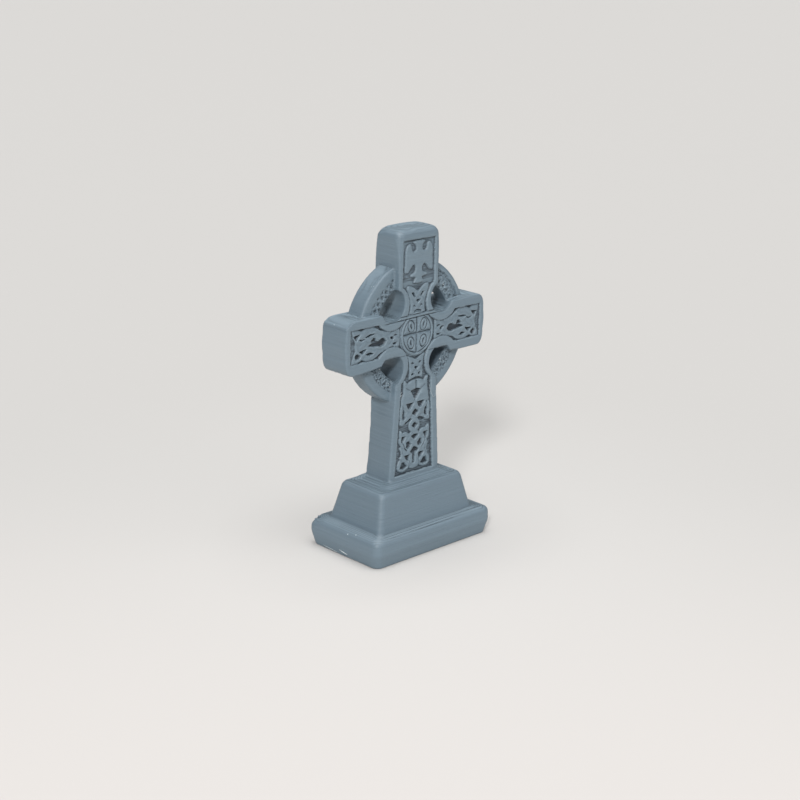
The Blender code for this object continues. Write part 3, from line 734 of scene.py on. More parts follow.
def plait(columns, rows, walls=None, missing=()):
    """The closed strands of a knot on a grid of cells, as [(place, step, kind)] lists."""
    walls = walls or {}
    reach = {}
    for c in range(columns):
        for r in range(rows):
            if (c, r) in missing:
                continue
            west, east = (2 * c, 2 * r + 1), (2 * c + 2, 2 * r + 1)
            south, north = (2 * c + 1, 2 * r), (2 * c + 1, 2 * r + 2)
            for a, b in ((west, south), (south, east), (east, north), (north, west)):
                step = (b[0] - a[0], b[1] - a[1])
                reach.setdefault(a, {})[step] = b
                reach.setdefault(b, {})[(-step[0], -step[1])] = a

    def turn(place, step):
        across, upright, level = (-step[0], -step[1]), (step[0], -step[1]), (-step[0], step[1])
        wall = walls.get(place)
        if wall is None and across in reach[place]:
            return across, "crossing"
        if wall == "upright" or (wall is None and upright in reach[place]):
            return upright, "upright"
        return level, "level"

    strands, used = [], set()
    for start in sorted(reach):
        for first in sorted(reach[start]):
            strand, place, step = [], start, first
            while (place, step) not in used:
                back, kind = turn(place, step)
                strand.append((place, step, kind))
                used |= {(place, step), (place, back)}
                following = reach[place][step]
                arrived = (-step[0], -step[1])
                used.add((following, arrived))
                place, step = following, turn(following, arrived)[0]
            if strand:
                strands.append(strand)
    return strands


LINK_POINTS = 6


def strand_path(strand, shy, reach):
    """Points (i, j, level) along a strand: level is 1 where it is over, -1 where under."""
    stops = []
    for (i, j), (dx, dz), kind in strand:
        if kind == "crossing":
            over = 1.0 if (i % 2 == 0) == (dx * dz > 0) else -1.0
            stops.append((np.array([i, j]), np.array([dx, dz]) * 1.0, over))
        elif kind == "upright":
            stops.append((np.array([i + dx * shy, j]), np.array([0.0, dz * reach]), 0.0))
        else:
            stops.append((np.array([i, j + dz * shy]), np.array([dx * reach, 0.0]), 0.0))
    path = []
    for k, (p, tp, level_p) in enumerate(stops):
        q, tq, level_q = stops[(k + 1) % len(stops)]
        for s in range(LINK_POINTS):
            t = s / LINK_POINTS
            point = (p * (2 * t**3 - 3 * t**2 + 1) + tp * (t**3 - 2 * t**2 + t)
                     + q * (3 * t**2 - 2 * t**3) + tq * (t**3 - t**2))
            ease = t * t * (3 - 2 * t)
            path.append((point[0], point[1], level_p + (level_q - level_p) * ease))
    return path


print("strands of a three by five plait:", len(plait(3, 5)))

# %% [markdown]
# ## Carving as a map of depths
# Seen from the front, carving is just a depth for each point: nothing on the border, most
# on the ground of the panel, and almost nothing on top of a strand. Each motif below works
# out how far a point lies inside its outline, and turns that into a rounded step. Where
# motifs overlap, the one nearest the viewer wins.

# %% Steps, outlines and strands as depths
SINK = 0.52
HOLE = 0.74
PLATE = 0.15
EDGE_SOFT = 0.1
MARGIN = 0.6


def ease(t):
    """A smooth step from 0 to 1."""
    t = np.clip(t, 0.0, 1.0)
    return t * t * (3 - 2 * t)


def from_segment(x, z, start, end):
    """How far points lie from a straight line, and the share along it of the nearest spot."""
    (ax, az), (bx, bz) = start, end
    ex, ez = bx - ax, bz - az
    t = np.clip(((x - ax) * ex + (z - az) * ez) / (ex * ex + ez * ez + 1e-12), 0, 1)
    return np.hypot(x - ax - t * ex, z - az - t * ez), t


def line_away(x, z, points):
    """Distance from an open line."""
    return np.min([from_segment(x, z, a, b)[0] for a, b in zip(points, points[1:])], axis=0)


def inside(x, z, outline):
    """Distance from the outline of a closed shape, positive inside it."""
    nearest = line_away(x, z, outline + outline[:1])
    within = np.zeros(x.shape, bool)
    for (ax, az), (bx, bz) in zip(outline, outline[1:] + outline[:1]):
        if az != bz:
            within ^= ((az > z) != (bz > z)) & (x < ax + (z - az) / (bz - az) * (bx - ax))
    return np.where(within, nearest, -nearest)


def softened(points, rounds=2):
    """Round a closed outline's corners by cutting them a few times."""
    for _ in range(rounds):
        cut_points = []
        for (ax, az), (bx, bz) in zip(points, points[1:] + points[:1]):
            cut_points.append((0.75 * ax + 0.25 * bx, 0.75 * az + 0.25 * bz))
            cut_points.append((0.25 * ax + 0.75 * bx, 0.25 * az + 0.75 * bz))
        points = cut_points
    return points


def reach_near(x, z, outline, rounds):
    """The points near an outline with its corners rounded, and how far inside it they lie."""
    outline = softened(outline, rounds)
    xs, zs = [p[0] for p in outline], [p[1] for p in outline]
    near = (z > min(zs) - MARGIN) & (z < max(zs) + MARGIN)
    near &= (x > min(xs) - MARGIN) & (x < max(xs) + MARGIN)
    return near, inside(x[near], z[near], outline)


def raise_shape(depth, x, z, outline, top, crown=0.1, crown_width=0.35, rounds=1):
    """Lay a flat shape with rounded edges on the ground."""
    near, reach = reach_near(x, z, outline, rounds)
    step = ease((reach + EDGE_SOFT / 2) / EDGE_SOFT)
    surface = top + crown * (1 - ease(reach / crown_width))
    depth[near] = np.minimum(depth[near], SINK + step * (surface - SINK))


def raise_strands(depth, x, z, paths, width, top, dip, crown, ground=SINK):
    """Lay woven strands on the ground; each path is a list of (x, z, level)."""
    half = width / 2
    for path in paths:
        for (ax, az, al), (bx, bz, bl) in zip(path, path[1:] + path[:1]):
            near = (np.abs(x - (ax + bx) / 2) < 2 * width) & (np.abs(z - (az + bz) / 2) < 2 * width)
            if not near.any():
                continue
            away, t = from_segment(x[near], z[near], (ax, az), (bx, bz))
            level = al + (bl - al) * t
            surface = top + dip * (1 - level) / 2 + crown * (away / half) ** 2
            step = ease((half - away + EDGE_SOFT / 2) / EDGE_SOFT)
            depth[near] = np.minimum(depth[near], ground + step * (surface - ground))


def pierce(depth, x, z, outline, bottom=HOLE, rounds=0):
    """Cut a hole of an outline down to a bottom."""
    near, reach = reach_near(x, z, outline, rounds)
    step = ease((reach + EDGE_SOFT) / EDGE_SOFT)
    depth[near] = np.maximum(depth[near], bottom * step)


def groove(away, width, deep):
    """The depth that a fine groove adds, from the distance to its line."""
    return deep * (1 - ease(np.abs(away) / width))


def mirror(points):
    """An outline on the other side of the middle."""
    return [(-x, z) for x, z in points]


def both(shapes):
    """Shapes and the same ones on the other side of the middle."""
    return [side for shape in shapes for side in (shape, mirror(shape))]


# %% Where the panels lie


def bay(along, centre, other):
    """Where the arc round a notch bends to, and whether it is met at all."""
    reach = np.abs(np.abs(along) - centre)
    return other - np.sqrt(np.maximum(PANEL_ARC**2 - reach**2, 0.0)), reach < PANEL_ARC


def upright_half(z):
    """Half the width of the upright panel at a height, round the notches too."""
    straight = np.where(z < CENTRE, shaft_half(z) - PANEL_SHAFT_BORDER, PANEL_HEAD_HALF)
    arc, met = bay(z - CENTRE, PANEL_ARC_Z, PANEL_ARC_X)
    return np.where(met, np.minimum(straight, arc), straight)


def arm_half(x):
    """Half the height of the arm's panel at a distance from the middle."""
    arc, met = bay(x, PANEL_ARC_X, PANEL_ARC_Z)
    return np.where(met, np.minimum(PANEL_ARM_HALF, arc), PANEL_ARM_HALF)


# %% [markdown]
# ## The shaft
# Three plaited cells side by side fill the shaft, with one strand pair tied together in the
# lower knot and a single loop that links it to the upper one. Two beasts lean together
# above, with a heart-shaped hollow between them. The strands nearly touch, so only small
# holes stay open between them. A thin plate behind the strands closes the rest.

# %% The knot of the shaft
SHAFT_GRID = [(0, 14.85), (5, 21.5), (8, 24.95), (10, 27.9), (12, 30.6)]
SHAFT_FILL = 0.84
STRAND = 1.18
NARROW_STRAND = 0.96
TOP = 0.04
DIP = 0.16
CROWN = 0.1
SHAFT_HOLES = [
    [(1.8, 15.95), (2.5, 16.75), (3.2, 16.85), (3.7, 15.75), (2.7, 15.5)],
    [(1.2, 18.05), (2.5, 18.05), (2.1, 17.35), (1.35, 16.95)],
    [(0.8, 20.25), (1.45, 20.85), (2.1, 20.75), (2.15, 19.85), (1.6, 19.4), (1.0, 19.7)],
    [(2.35, 21.95), (3.4, 22.1), (3.4, 21.1), (3.15, 20.6)],
    [(0.75, 25.15), (1.4, 25.3), (2.7, 24.65), (2.3, 24.3), (1.4, 24.6)],
    [(2.5, 25.6), (3.15, 25.35), (3.3, 26.5), (3.05, 27.5), (2.65, 26.8)],
    [(0.55, 28.35), (2.35, 28.35), (2.0, 27.6), (1.45, 27.2), (0.95, 27.6)],
]
MIDDLE_HOLES = [
    [(-1.1, 18.75), (0.0, 19.55), (1.1, 18.85), (0.45, 18.2), (0.25, 16.35), (-0.25, 16.35),
     (-0.4, 18.2)],
    [(-0.9, 21.8), (0.0, 22.0), (1.0, 21.8), (0.1, 20.9)],
    [(-0.75, 23.85), (0.0, 24.4), (0.8, 23.85), (0.1, 23.25)],
    [(-0.8, 26.4), (0.0, 27.1), (0.85, 26.5), (0.2, 25.7)],
    [(-1.3, 30.85), (-0.2, 31.05), (0.2, 31.1), (1.35, 30.8), (0.75, 29.9), (0.05, 28.8), (-0.7, 29.9)],
    [(0.0, 30.8), (0.28, 30.8), (0.25, 32.7), (0.02, 32.7)],
]
EAR = [(2.3, 22.2), (3.0, 22.8), (3.75, 23.6), (4.05, 22.3), (3.7, 21.5)]
SIDE = [(3.2, 28.3), (3.75, 28.2), (4.0, 27.2), (4.05, 25.8), (3.5, 25.2), (3.4, 26.5), (3.25, 27.5)]
WAIST = [(4.9, 21.0), (4.05, 20.4), (3.6, 19.3), (3.35, 18.45), (3.8, 17.75), (4.9, 17.2)]
FOOT = [(2.2, 24.6), (3.4, 24.2), (4.05, 24.5), (3.9, 25.6), (3.4, 26.0)]
BEAST = [
    (-0.15, 28.25), (3.75, 28.0), (3.6, 29.0), (3.35, 30.0), (3.1, 31.2), (3.1, 32.1),
    (3.3, 33.2), (2.75, 33.25), (2.3, 32.6), (2.0, 32.45), (1.55, 32.75), (0.8, 32.95),
    (-0.15, 32.95),
]
JAW = [(1.35, 31.05), (1.9, 31.25), (2.5, 31.6)]
LOOP = [(3.0, 21.2), (2.85, 20.4), (2.5, 19.6), (1.9, 19.05)]
TIE = [(1.15, 16.9), (1.35, 16.2), (1.2, 15.7)]
LINES = [(JAW, 0.1), (LOOP, 0.3), (TIE, 0.16)]
LINE_WIDTH = 0.17


def shaft_place(i, j):
    """Where a grid point of the shaft's knot lies."""
    across = i / 3.0 - 1.0
    foot = max(0.0, 1.0 - j / 2.0)
    z = float(np.interp(j, *zip(*SHAFT_GRID))) + 0.5 * foot * (1 - across**2)
    return across * SHAFT_FILL * float(upright_half(np.array(z))), z


def knot_paths(columns, rows, place, shy=0.3, reach=1.3, walls=None, missing=()):
    """A plait's strands, put in place."""
    paths = []
    for strand in plait(columns, rows, walls, missing):
        path = strand_path(strand, shy, reach)
        paths.append([(*place(i, j), level) for i, j, level in path])
    return paths


def carve_shaft(depth, x, z):
    """The whole carving of the shaft: plates, woven strands, beasts, holes and lines."""
    low, high, side = [shaft_place(i, j)[0] for i, j in ((1.0, 0.9), (1.0, 5.5), (0.6, 9))]
    plates = [
        [(-low, 15.9), (low, 15.9), (1.3 * high, 22.4), (-1.3 * high, 22.4)],
        [(side, 25.6), (-side, 25.6), (-side, 28.6), (side, 28.6)],
        [(-0.9, 22.3), (0.9, 22.3), (0.9, 25.8), (-0.9, 25.8)],
    ]
    for outline in plates:
        raise_shape(depth, x, z, outline, PLATE, 0.0, 0.1, 0)
    paths = knot_paths(
        3, 6, shaft_place, walls={(3, 2): "upright"}, missing={(0, 3), (2, 3)},
    )
    raise_strands(depth, x, z, paths, STRAND, TOP, DIP, CROWN)
    for outline in both([WAIST]):
        pierce(depth, x, z, outline, SINK, 1)
    for outline in both([EAR, FOOT, SIDE, BEAST]):
        raise_shape(depth, x, z, outline, TOP + 0.03)
    for hole in both(SHAFT_HOLES) + MIDDLE_HOLES:
        pierce(depth, x, z, hole)
    for line, deep in LINES:
        for side in both([line]):
            depth += groove(line_away(x, z, side), LINE_WIDTH, deep)


# %% [markdown]
# ## Arms, necks and head
# Each arm ends in a knot of three by three cells, and smaller knots fill the necks beside
# the boss. A displayed bird fills the head.

# %% The necks and the arms
NECK_START = 4.5
NECK_CELL = 1.07
NECK_HALF = 1.66
ARM_START = 8.35
ARM_KNOT_END = 16.8
ARM_DIP = 0.66
ARM_WAIST = 1.35
ARM_END_SINK = 0.4
ARM_END_FROM = 15.0
# The dips of the arm's carving: their middle, width and share of the whole dip
ARM_DIPS = [(9.9, 0.85, 1.0), (14.1, 0.6, 0.8)]
PLATE_START = 4.6
PLATE_POINTS = 25

# Each neck: its side of the boss, half its outline, its holes on both sides, its holes in
# the middle and its dimples on both sides
NECKS = [
    (
        1,
        [(0.0, 50.05), (0.9, 50.7), (1.8, 51.2), (2.75, 51.3), (2.85, 50.5), (2.3, 49.3),
         (1.85, 48.0), (1.8, 46.8), (2.1, 45.7), (0.0, 45.7)],
        [[(0.6, 49.05), (1.05, 49.75), (1.6, 49.85), (1.15, 49.15)]],
        [[(-0.5, 48.4), (0.55, 48.4), (0.0, 47.9)],
         [(-0.9, 46.3), (-0.2, 46.5), (0.9, 46.35), (0.9, 46.1), (-0.8, 46.05)]],
        [[(0.6, 47.2), (0.9, 47.5), (1.2, 47.3)]],
    ),
    (
        -1,
        [(0.0, 36.9), (0.9, 37.35), (1.6, 37.7), (2.35, 37.85), (1.95, 36.9), (1.7, 35.5),
         (1.65, 34.2), (1.85, 33.0), (1.0, 33.3), (0.0, 33.45)],
        [[(0.5, 34.0), (0.9, 34.35), (1.25, 34.0), (0.8, 33.9)]],
        [[(-0.5, 35.45), (0.5, 35.45), (0.0, 34.95)]],
        [[(0.55, 36.15), (0.9, 36.45), (1.35, 36.3), (0.9, 36.1)]],
    ),
]

# The arm's holes, as distances from the middle line and heights over the centre
ARM_HOLES = [
    [(14.6, 2.2), (16.1, 2.0), (15.45, 1.2)],
    [(14.45, -1.9), (15.25, -1.4), (15.8, -1.75), (15.5, -2.45), (14.7, -2.25)],
    [(13.35, 1.15), (14.1, 0.85), (14.7, 1.2), (14.0, 1.0)],
    [(12.95, -0.85), (14.65, -1.1), (13.8, -1.6)],
    [(11.0, 1.75), (12.1, 1.72), (13.2, 1.45), (12.2, 1.42)],
    [(11.2, -1.95), (12.0, -1.65), (13.05, -1.8), (12.2, -2.1)],
    [(6.05, 0.15), (6.4, 0.5), (7.0, 0.45), (6.7, 0.05), (6.3, -0.05)],
    [(5.25, -0.8), (6.3, -0.85), (5.9, -1.1), (5.3, -1.05)],
]
ARM_HOLLOW = [
    (7.95, -0.1), (8.4, 0.5), (9.3, 0.6), (9.9, 0.2), (10.4, 0.2), (10.7, 0.85), (11.2, 1.0),
    (11.9, 0.4), (11.3, 0.1), (12.4, -0.35), (11.2, -0.65), (10.6, -0.75), (10.0, -0.7),
    (9.3, -0.95), (8.4, -0.7),
]
ARM_DIMPLE = [(5.2, 0.6), (5.6, 0.8), (6.1, 0.7), (5.6, 0.55)]
DIMPLE = 0.36
ARM_LEAN = (-0.08, -0.1)


def neck_place(upright, sign):
    """A function that puts a neck's grid in place."""
    def place(i, j):
        across = i / 2.0 - 1.0
        away = NECK_START + j * NECK_CELL
        if upright:
            return across * NECK_HALF, CENTRE + sign * away
        return sign * away, CENTRE + across * NECK_HALF
    return place


def arm_place(side):
    """A function that puts an arm's grid in place, its end drawn in at the middle."""
    def place(i, j):
        across = i / 3.0 - 1.0
        x = ARM_START + j / 6.0 * (ARM_KNOT_END - ARM_START)
        x -= ARM_WAIST * max(0.0, j - 5.0) * (1 - abs(across))
        half = float(arm_half(np.array(x))) - 0.3
        return side * x, CENTRE + across * half
    return place


def arm_plate(side):
    """The wavy outline of an arm's carving."""
    edge = []
    for x in np.linspace(PLATE_START, ARM_KNOT_END, PLATE_POINTS):
        wave = sum(share * math.exp(-((x - at) / width) ** 2) for at, width, share in ARM_DIPS)
        edge.append((x, float(arm_half(np.array(x))) - ARM_DIP * wave))
    end = [(ARM_KNOT_END - ARM_WAIST, 0.0)]
    outline = [(x, -h) for x, h in edge] + end + [(x, h) for x, h in reversed(edge)]
    return [(side * x, CENTRE + h) for x, h in outline]


def weave(depth, x, z, plate, paths):
    """Lay woven strands on a plate, as far as its outline."""
    raise_shape(depth, x, z, plate, PLATE, 0.1, 0.3)
    woven = np.full(x.shape, SINK)
    raise_strands(woven, x, z, paths, NARROW_STRAND, TOP, DIP, CROWN)
    within = inside(x, z, plate) > 0.05
    depth[within] = np.minimum(depth, woven)[within]


def carve_arm(depth, x, z, side):
    """The end knot of an arm, its neck and the hollow between them."""
    end = side * x > ARM_END_FROM
    depth[end] = np.minimum(depth, ARM_END_SINK)[end]
    paths = knot_paths(3, 3, arm_place(side))
    paths += knot_paths(2, 2, neck_place(False, side), shy=0.2)
    weave(depth, x, z, arm_plate(side), paths)
    lift = CENTRE + ARM_LEAN[0] + ARM_LEAN[1] * side
    for hole in ARM_HOLES + [ARM_HOLLOW]:
        pierce(depth, x, z, [(side * px, lift + pz) for px, pz in hole])
    pierce(depth, x, z, [(side * px, CENTRE + pz) for px, pz in ARM_DIMPLE], DIMPLE)


def carve_necks(depth, x, z):
    """The narrow knots above and below the boss."""
    for sign, half, holes, middle_holes, dimples in NECKS:
        plate = half + mirror(half)[::-1][1:-1]
        weave(depth, x, z, plate, knot_paths(2, 2, neck_place(True, sign), shy=0.2))
        for hole in both(holes) + middle_holes:
            pierce(depth, x, z, hole)
        for hole in both(dimples):
            pierce(depth, x, z, hole, DIMPLE)


# %% The bird
BIRD_HALF = [
    (0.0, 51.5), (0.75, 51.6), (1.4, 51.75), (0.95, 52.4), (0.8, 52.75), (1.2, 52.8), (2.05, 52.85),
    (2.1, 53.4), (1.5, 53.55), (1.0, 53.7), (0.8, 54.2), (0.9, 54.8), (1.35, 55.15), (1.8, 54.95),
    (2.3, 54.35), (2.9, 53.7), (3.55, 53.8), (3.6, 54.6), (3.5, 56.5), (3.5, 57.9), (3.3, 58.6),
    (2.8, 59.15), (2.3, 59.2), (2.0, 58.8), (1.98, 58.2), (1.7, 57.75), (1.3, 57.65), (0.88, 57.85),
    (0.75, 58.3), (0.9, 58.85), (1.3, 59.2), (1.6, 59.5), (1.0, 59.65), (0.0, 59.72),
]
HEAD_SINK = 0.42
HEAD_GROUND = (51.2, 0.8)


def carve_bird(depth, x, z):
    """A displayed bird with raised wings, claws and a fanned tail, on a shallower ground."""
    depth += (HEAD_SINK - SINK) * ease(ramp(z, *HEAD_GROUND))
    outline = BIRD_HALF + mirror(BIRD_HALF[1:-1])[::-1]
    raise_shape(depth, x, z, outline, 0.03, 0.1, 0.25)


# %% [markdown]
# ## The boss
# Where the arms meet there is a round boss. A groove runs round it and two cross it, and
# each of its quarters has a raised drop-shaped ring.

# %% The boss
BOSS_TOP = 0.03
BOSS_RIM = 3.6
BOSS_MOAT = 0.3
BOSS_LINE = 0.5
# Grooves as (width, depth): round the rim, beside the cross lines and along the drops
RIM_GROOVE = (0.2, 0.26)
SIDE_GROOVE = (0.65, 0.3)
DROP_GROOVE = (0.22, 0.28)
DROP_SINK = 0.34
DROP_PLACE = (1.6, 1.55)
DROP_LEAN = 0.3
DROP = [
    (0.05, 1.0), (0.5, 0.5), (0.55, -0.15), (0.35, -0.65), (0.0, -0.85), (-0.35, -0.65),
    (-0.55, -0.1), (-0.45, 0.55),
]


def carve_boss(depth, x, z):
    """The quartered boss, raised almost to the border."""
    rise = z - CENTRE
    away = np.hypot(x, rise)
    moat = BOSS_MOAT + ease((away - BOSS_RADIUS - 0.15) / 0.3) * SINK
    depth = np.minimum(depth, moat)
    step = ease((BOSS_RADIUS - away + EDGE_SOFT / 2) / EDGE_SOFT)
    top = BOSS_TOP + 0.1 * (1 - ease((BOSS_RADIUS - away) / 0.25))
    lines = groove(away - BOSS_RIM, *RIM_GROOVE)
    on_quarters = away < BOSS_RIM + 0.05
    on_drops = away < BOSS_RIM - 0.15
    across, lift = DROP_PLACE
    for line, width in ((x, 0.3 + 0.14 * ease(rise)), (rise - 0.1, 0.24)):
        lines = np.maximum(lines, groove(line, width, BOSS_LINE) * on_quarters)
        lines = np.maximum(lines, groove(line, *SIDE_GROOVE) * on_quarters)
    for side in (-1, 1):
        for up in (-1, 1):
            lean = DROP_LEAN * side * up
            drop = [(across + px + lean * side * pz * 0.5, lift + pz) for px, pz in DROP]
            shape = [(side * px, CENTRE + up * pz) for px, pz in drop]
            reach = inside(x, z, softened(shape, 1))
            lines = np.maximum(lines, on_drops * groove(reach + 0.32, *DROP_GROOVE))
            lines = np.maximum(lines, on_drops * DROP_SINK * ease((reach - 0.2) / 0.2))
    raised = SINK + step * (top + lines - SINK)
    level = np.minimum(depth, SINK) * (1 - step) + raised * step
    return np.where(away < BOSS_RADIUS + 0.1, level, depth)


# %% [markdown]
# ## Lay the carving on the front
# The points of the front are moved back by their depth. A little noise in the plane makes
# the outlines waver as they do on the print, and a shift for each layer of plastic gives
# the upright edges their fine saw teeth. The back's plain panel is carved the same way.

# %% Move the front points
SEAMS = [(45.1, 0.24), (45.72, 0.2), (38.15, 0.12)]
SEAM_ENDS = (-9.2, 6.0)
SEAM_SLOPE = 0.02
SEAM_WIDTH = 0.16
OUTLINE_WAVER = 0.06
STRIP_HALF = 5.2
STRIP_DEPTH = 0.04
LIP_WIDTH = 0.25
LIP_DEPTH = 0.06


def seam_depth(x, z):
    """Level seams that the printer left across the front."""
    fade = ease((x - SEAM_ENDS[0]) / 2) * ease((SEAM_ENDS[1] - x) / 2)
    depth = np.zeros(x.shape)
    for level, deep in SEAMS:
        depth += groove(z - level - SEAM_SLOPE * x, SEAM_WIDTH, deep) * fade
    return depth


def front_depth(x, z):
    """How far the carved front lies behind the border at each point."""
    x = x + OUTLINE_WAVER * ripple(x, z, 0.8, 3.1) + 0.05 * layer_shift(z, 1.7)
    z = z + OUTLINE_WAVER * ripple(x, z, 0.8, 8.4)
    edge = inside(x, z, panel_outline()) + 0.06 * layer_shift(z, 6.1, 0.25)
    edge += 0.04 * layer_shift(z, 2.6, 0.5)
    depth = np.full(x.shape, SINK)
    carve_bird(depth, x, z)
    carve_shaft(depth, x, z)
    carve_necks(depth, x, z)
    for side in (-1, 1):
        carve_arm(depth, x, z, side)
    depth = carve_boss(depth, x, z)
    rise = z - SEAM_SLOPE * x
    strip = ease((rise - SEAMS[0][0] + 0.05) / 0.12) * ease((SEAMS[1][0] + 0.05 - rise) / 0.12)
    strip = strip * (np.abs(x) < STRIP_HALF)
    depth = depth * (1 - strip) + STRIP_DEPTH * strip
    lip = LIP_DEPTH * (1 - ease(-edge / LIP_WIDTH))
    return np.where(edge > -LIP_WIDTH, lip + ease((edge + 0.05) / 0.1) * (depth - lip), 0.0)


place = np.array([v.co for v in bm.verts])
normal = np.array([v.normal for v in bm.verts])
back = (normal[:, 1] > FACING) & (place[:, 1] > BACK - 0.3) & (place[:, 2] > CARVED_FROM)
edge = inside(place[back, 0], place[back, 2], panel_outline())
boss_edge = BOSS_RADIUS - np.hypot(place[back, 0], place[back, 2] - CENTRE)
place[back, 1] -= BACK_SINK * ease((edge + 0.1) / 0.25) * (1 - ease((boss_edge + 0.1) / 0.25))
front = (normal[:, 1] < -FACING) & (place[:, 1] < FRONT + 0.12) & (place[:, 2] > CARVED_FROM)
sunk = front_depth(place[front, 0], place[front, 2])
sunk += seam_depth(place[front, 0], place[front, 2]) + 0.01 * layer_shift(place[front, 2], 9.9, 0.4)
place[front, 1] += sunk
print("front points moved:", int(front.sum()), "deepest", round(float(sunk.max()), 2), "mm")

# %% [markdown]
# ## The ring's band
# A twisted pair of strands runs round the front of the ring. It is so fine that the
# printer blurred it, most of all on the lower half, where it hung over nothing.

# %% Carve the ring
BAND_INNER = RING_INNER + 0.1
BAND_OUTER = 12.2
BAND_SINK = 0.38
BAND_STRAND = 0.62
BAND_CELLS = 5
BAND_WIDER = 0.9
BAND_BLUR = 0.3
BAND_ROUGH = 0.16


def band_paths():
    """The twisted strands along each quarter of the ring that shows."""
    low, high = BAND_INNER + BAND_STRAND / 2, BAND_OUTER - BAND_STRAND / 2
    middle = (low + high) / 2
    start = math.asin(ARM_HEIGHT / 2 / middle)
    end = math.acos(HEAD_WIDTH / 2 / middle)
    paths = []
    for side in (-1, 1):
        for rise in (-1, 1):
            def place_band(i, j):
                turn = start + (end - start) * j / (2 * BAND_CELLS)
                radius = low + (high - low) * i / 2
                return side * radius * math.cos(turn), CENTRE + rise * radius * math.sin(turn)
            paths += knot_paths(1, BAND_CELLS, place_band, shy=0.0)
    return paths


def ring_depth(x, z):
    """How far the ring's front lies behind its border."""
    away = np.hypot(x, z - CENTRE)
    rough = ripple(x, z, 0.45, 21.0) + 0.8 * ripple(x, z, 0.22, 33.0)
    below = ease((CENTRE - z) / 5)
    outer = BAND_OUTER + BAND_WIDER * ease((x - 2) / 2) * (1 - below)
    outer += 0.15 * ripple(x, z, 0.6, 3.0)
    depth = np.full(x.shape, BAND_SINK)
    raise_strands(depth, x, z, band_paths(), BAND_STRAND, 0.0, 0.14, 0.1, BAND_SINK)
    depth = depth * (0.9 - BAND_BLUR * below) + BAND_ROUGH * (1 + below) * rough
    return depth * ease((outer - away) / 0.35)


away = np.hypot(place[:, 0], place[:, 2] - CENTRE)
on_ring = (normal[:, 1] < -FACING) & (np.abs(place[:, 1] - RING_FRONT) < 0.2) & (away < RING_OUTER)
place[on_ring, 1] += ring_depth(place[on_ring, 0], place[on_ring, 2])
print("ring points moved:", int(on_ring.sum()))

put_points(bm, place)

# %% [markdown]
# ## Hollows and crests
# Little light reaches the bottom of a hole less than a millimetre wide. Comparing each point
# with the mean of its neighbourhood tells how hollow its place is. The plastic reads this as
# painted shade in the holes and creases, and as a painted highlight on the edges. A second
# value counts the layers down from the rim of each level top, to draw contour lines there.

# %% How hollow each place is
HOLLOW_FINE = 4
HOLLOW_WIDE = 9
FINE_SHARE = 0.75
WIDE_SHARE = 0.7
HOLLOW_FULL = 0.14
HOLLOW_PLAIN = 0.18
# Painted light on the back of the upper left notch, painted shade inside the notches
NOTCH_PAINTED_LIGHT = 1.3
NOTCH_SHADE = 0.42
RING_HOLLOW = 0.6
HEAD_HOLLOW = 0.78


def neighbour_mean(values, pairs, rounds):
    """Average each point's row of values with its neighbours', a few times."""
    size = len(values)
    count = np.bincount(pairs.ravel(), minlength=size)[:, None]
    for _ in range(rounds):
        total = np.stack([
            np.bincount(pairs[:, 0], column[pairs[:, 1]], size)
            + np.bincount(pairs[:, 1], column[pairs[:, 0]], size)
            for column in values.T
        ], axis=1)
        values = (values + total / count) / 2
    return values


def keep_value(bm, name, values):
    """Store one value for each point, for the plastic to read."""
    layer = bm.verts.layers.float.new(name)
    for vert, value in zip(bm.verts, values):
        vert[layer] = float(value)


bm.verts.index_update()
pairs = np.array([[v.index for v in e.verts] for e in bm.edges])
normal = np.array([v.normal for v in bm.verts])
fine_mean = neighbour_mean(place, pairs, HOLLOW_FINE)
wide_mean = neighbour_mean(fine_mean, pairs, HOLLOW_WIDE)
level = FINE_SHARE * (fine_mean - place) + WIDE_SHARE * (wide_mean - place)
carved = front | on_ring
# Painted shade where a place lies hollow, painted highlight where it stands out
hollow = np.where(carved, -level[:, 1], HOLLOW_PLAIN * (level * normal).sum(axis=1))
hollow = np.clip(hollow / HOLLOW_FULL, -1, 1)
x, y, z = place.T
# Less painted shade on the ring's band and on the head's ground
hollow[on_ring & (hollow > 0)] *= RING_HOLLOW
hollow[front & (z > BIRD_HALF[0][1] - 0.3) & (hollow > 0)] *= HEAD_HOLLOW
in_notch = np.hypot(np.abs(x) - NOTCH_X, np.abs(z - CENTRE) - NOTCH_Z) < NOTCH_RADIUS + 0.3
in_notch &= (np.abs(normal[:, 1]) < 0.6) & (np.abs(y) < 3.0)
# Painted light on the back wall of the upper left notch, painted shade in all four notches
hollow[in_notch & (x < 0) & (z > CENTRE) & (y > 0.4)] -= NOTCH_PAINTED_LIGHT
hollow[in_notch] += NOTCH_SHADE * np.clip(1 - (y[in_notch] / 2.6) ** 2, 0, 1)
keep_value(bm, "hollow", hollow)
print("hollow from", round(float(hollow.min()), 2), "to", round(float(hollow.max()), 2))

# %% Contour lines of the level tops
# Each top: the height it lies above, its half width and depth, and its lines' distance
LEVEL_TOPS = [(55, 5.4, 3.6, 0.62), (30, 18.2, 3.6, 0.55), (9, 11.0, 6.0, 0.36)]
LEDGE_HALF = (11.8, 6.6)
LEDGE_PITCH = 0.42
CONTOUR_WAVER = 0.9


def corner_distance(across, along):
    """Distance from a rounded corner between two edges, from the distance to each."""
    across, along = np.maximum(across, 0.05), np.maximum(along, 0.05)
    return (across ** -3.0 + along ** -3.0) ** (-1 / 3)


def terrace_steps(x, y, z):
    """How many layer edges lie between each point and the rim of its level top."""
    far_x, far_y = np.abs(x), np.abs(y)
    past_x, past_y = [np.maximum(a - b, 0) for a, b in zip((far_x, far_y), LEDGE_HALF)]
    steps = [corner_distance(w - far_x, d - far_y) / pitch for _, w, d, pitch in LEVEL_TOPS]
    above = [z > level for level, *_ in LEVEL_TOPS]
    return np.select(above, steps, np.hypot(past_x, past_y) / LEDGE_PITCH)


